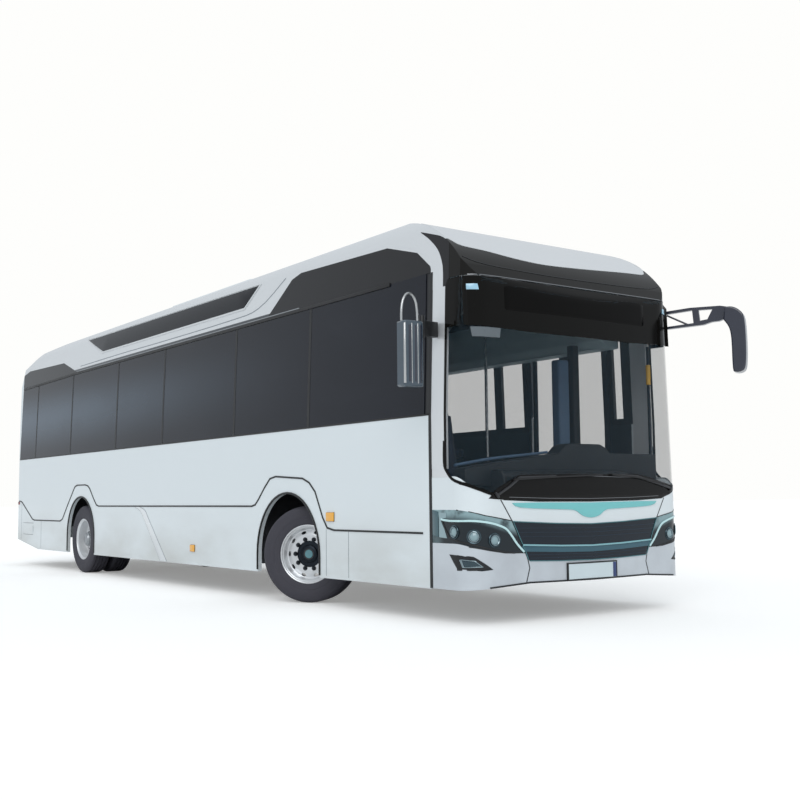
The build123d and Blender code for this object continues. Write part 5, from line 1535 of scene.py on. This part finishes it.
def seat(wide, single=False):
    """One seat or double seat, its front edge at y=0, its middle at x=0 and its floor at z=0."""
    soft, hard = [], []
    places = [(-wide / 2, wide / 2)] if single else [(-wide / 2, -0.008), (0.008, wide / 2)]
    for start, stop in places:
        soft.append(
            pad("cushion", (start + 0.008, 0.002, 0.345), (stop - 0.008, 0.405, 0.435), 0.022, 0.006, 2)
        )
        high = (stop - 0.012, 0.64, 0.075)
        back_pad = pad("back_pad", (start + 0.012, 0.0, 0.0), high, 0.020, 0.006, 2)
        lean = Matrix.Rotation(math.radians(79.5), 4, "X")
        back_pad.matrix_world = Matrix.Translation((0, 0.415, 0.455)) @ lean
        pick(back_pad)
        bake_place()
        soft.append(back_pad)
        hard.append(rod("piping", (start + 0.02, 0.01, 0.437), (stop - 0.02, 0.01, 0.437), 0.004, 8))
    shell = prism(
        "shell",
        [
            (0.02, 0.31), (0.44, 0.31), (0.60, 1.14), (0.57, 1.148), (0.52, 1.12), (0.405, 0.45),
            (0.38, 0.345), (0.02, 0.345),
        ],
        -wide / 2, wide / 2, place=from_side,
    )
    soften(shell, 0.006, 2, 30)
    leg = prism(
        "leg", [(0.10, 0.0), (0.40, 0.0), (0.33, 0.31), (0.16, 0.31)], -0.03, 0.03, 0.006,
        place=from_side,
    )
    grab = tube(
        "grab",
        [
            (-wide / 2 + 0.03, 0.60, 1.06), (-wide / 2 + 0.03, 0.585, 1.15),
            (-wide / 2 + 0.07, 0.578, 1.175), (wide / 2 - 0.07, 0.578, 1.175),
            (wide / 2 - 0.03, 0.585, 1.15), (wide / 2 - 0.03, 0.60, 1.06),
        ],
        0.009, 2,
    )
    return soft, hard + [shell, leg, grab]


# The saloon's double seats: their width, first and last row, the wall's face and the deck
SEAT_WIDTH = 0.86
SEAT_ROWS = 10
FIRST_ROW, LAST_ROW = 2.5, 9.7
WALL_FACE = 1.165
DECK = 1.15


def add_seats():
    """The double seats in rows, and the driver's seat."""
    soft, hard = seat(SEAT_WIDTH)
    cushions, frame_parts = join("cushions", soft), join("seat_frames", hard)
    pads, frames = [], []
    pitch = (LAST_ROW - FIRST_ROW) / (SEAT_ROWS - 1)
    for side in (-1, 1):
        for row in range(SEAT_ROWS):
            spot = Matrix.Translation((side * (WALL_FACE - 0.44), back(FIRST_ROW + row * pitch), DECK))
            pads.append(duplicate(cushions, spot))
            frames.append(duplicate(frame_parts, spot))
    pads = assemble("seat_pads", pads, "seat_fabric", stands_for=("passenger_seats",))
    assemble("seat_shells", frames, "seat_shell")
    bpy.data.objects.remove(cushions)
    bpy.data.objects.remove(frame_parts)
    soft, hard = seat(0.48, single=True)
    spot = Matrix.Translation((-0.56, back(0.42), 0.72))
    pads = duplicate(join("driver", soft), spot)
    pads = settle(name_piece("driver_pads"), "seat_fabric", stands_for=("driver_seat",))
    duplicate(join("driver_hard", hard), spot)
    settle(name_piece("driver_shell"), "seat_shell")
    for name in ("driver", "driver_hard"):
        bpy.data.objects.remove(bpy.data.objects[name])


add_cab()
add_seats()


# Roof and rear
def add_roof_dress():
    """Louvres and fans on the roof unit, ribs along the roof, seams."""
    slats = []
    for side in (-1, 1):
        for row in range(14):
            y = back(5.2) - 1.04 + row * 0.16
            slats.append(
                prism(
                    "slat",
                    sided(
                        side,
                        [(0.855, y - 0.05), (0.855, y + 0.05), (0.842, y + 0.05), (0.842, y - 0.05)],
                    ),
                    3.545, 3.575, 0.002,
                )
            )
    assemble("roof_unit_slats", slats, "rubber_trim")
    fans = []
    for row in (-0.72, 0.0, 0.72):
        spot = Matrix.Translation((0, back(5.2) + row, 3.636))
        ring = turned(
            "ring", [(0.225, 0.0), (0.262, 0.0), (0.262, 0.010), (0.250, 0.016), (0.225, 0.014)], 56
        )
        ring = duplicate(ring, spot)
        hub = duplicate(
            turned("boss", [(0.001, 0.012), (0.055, 0.011), (0.062, 0.0), (0.001, 0.0)], 32), spot
        )
        fans += [ring, hub]
        for turn in range(8):
            blade = rod("spoke", (0.05, 0, 0.006), (0.232, 0, 0.006), 0.006, 8)
            fans.append(duplicate(blade, spot @ Matrix.Rotation(math.pi * turn / 4, 4, "Z")))
            bpy.data.objects.remove(blade)
        for level in (0.10, 0.15, 0.20):
            loop = turned(
                "loop", [(level, 0.004), (level + 0.006, 0.004), (level + 0.006, 0.010), (level, 0.010)],
                48,
            )
            fans.append(duplicate(loop, spot))
            bpy.data.objects.remove(loop)
        for name in ("ring", "boss"):
            bpy.data.objects.remove(bpy.data.objects[name])
    assemble("roof_unit_fans", fans, "hardware_black")
    ribs = []
    for across in (-0.62, 0.62):
        for start, stop in ((2.2, 3.85), (6.55, 9.9)):
            ribs.append(
                stripe(
                    "rib", [(across, start), (across, stop)], 0.05, "top", 0.008, pitch=0.4, bevel=0.003,
                    reach=1.4,
                )
            )
    for place in (1.9, 10.05):
        ribs.append(
            stripe("seam", [(-1.05, place), (1.05, place)], 0.012, "top", 0.002, pitch=0.1, reach=1.4)
        )
    assemble("roof_ribs", ribs, "hoop_silver")


def add_rear():
    """Lamp clusters, the lid's louvres, reflectors, window print and the end lamps of the sides."""
    reds, rims, ambers, whites = [], [], [], []
    for side in (-1, 1):
        for low, high, made in (
            (1.22, 1.40, reds), (1.08, 1.20, ambers), (0.98, 1.06, whites), (0.90, 0.96, reds),
            (1.42, 1.48, reds),
        ):
            outline = sided(side, [(0.955, low), (1.075, low), (1.075, high), (0.955, high)])
            made.append(panel("lens", outline, "rear", 0.010, pitch=0.08, bevel=0.004))
        rims.append(
            stripe(
                "rim",
                sided(
                    side,
                    [(0.935, 0.885), (1.095, 0.885), (1.095, 1.495), (0.935, 1.495), (0.935, 0.885)],
                ),
                0.012, "rear", 0.008, pitch=0.1, bevel=0.003,
            )
        )
    assemble("rear_reds", reds, "lamp_red")
    assemble("rear_ambers", ambers, "amber")
    assemble("rear_whites", whites, "lens_pale")
    louvres = []
    for level in range(9):
        z = 0.92 + level * 0.052
        louvres.append(
            stripe("louvre", [(-0.60, z), (0.60, z)], 0.022, "rear", 0.012, pitch=0.4, bevel=0.004)
        )
    assemble("lid_louvres", louvres, "hardware_black", body="motor_lid")
    assemble("rear_trim", rims, "hardware_black")
    reflectors = [
        panel(
            "reflector", sided(side, [(0.80, 0.52), (0.98, 0.52), (0.98, 0.565), (0.80, 0.565)]), "rear",
            0.036, pitch=0.1, bevel=0.004,
        )
        for side in (-1, 1)
    ]
    assemble("rear_reflectors", reflectors, "lamp_red")
    border = [(-0.90, 1.93), (0.90, 1.93), (0.90, 2.69), (-0.90, 2.69), (-0.90, 1.93)]
    settle(stripe("rear_print", border, 0.05, "rear", 0.002, pitch=0.2), "print_black")
    for view in ("right", "left"):
        lamp = panel(
            f"edge_lamp_{view}", [(11.30, 0.985), (11.36, 0.985), (11.36, 1.03), (11.30, 1.03)], view,
            0.012, pitch=0.1, bevel=0.003,
        )
        settle(lamp, "lamp_red")


def add_hatch_ribs():
    """Three pressed ribs on each roof hatch."""
    for word in ("front", "rear"):
        low, high = box_of(f"roof_hatch_{word}")
        middle, top = (low + high) / 2, high.z - 0.001
        ribs = []
        for across in (-0.16, 0.0, 0.16):
            outline = [
                (across - 0.02, middle.y - 0.20), (across + 0.02, middle.y - 0.20),
                (across + 0.02, middle.y + 0.20), (across - 0.02, middle.y + 0.20),
            ]
            ribs.append(prism("rib", outline, top, top + 0.009, 0.004))
        assemble(f"hatch_ribs_{word}", ribs, "body_plain", body=f"roof_hatch_{word}")


def add_door_trim():
    """Rubber edges, a waist rail and a grab bar on each door leaf."""
    for word in ("front", "rear"):
        low, high = box_of(f"door_{word}_leaf")
        start, stop = low.y - back(0), high.y - back(0)
        strips = []
        for place in (start + 0.018, stop - 0.018):
            strips.append(
                stripe(
                    "strip", [(place, low.z + 0.03), (place, high.z - 0.03)], 0.026, "left", 0.006,
                    pitch=0.3, bevel=0.002,
                )
            )
        strips.append(
            stripe(
                "strip", [(start + 0.04, 1.02), (stop - 0.04, 1.02)], 0.018, "left", 0.006, pitch=0.3,
                bevel=0.002,
            )
        )
        assemble(f"door_rubbers_{word}", strips, "rubber_trim", body=f"door_{word}")
        deep = low.x - 0.012
        path = ((low.x + 0.012, 1.10), (deep, 1.14), (deep, 1.86), (low.x + 0.012, 1.90))
        bar = tube("bar", [(x, back(stop - 0.12), z) for x, z in path], 0.012, 3)
        assemble(f"door_grab_{word}", [bar], "rail_steel", body=f"door_{word}")


add_roof_dress()
add_rear()
add_hatch_ribs()
add_door_trim()

bpy.data.objects.remove(skin)
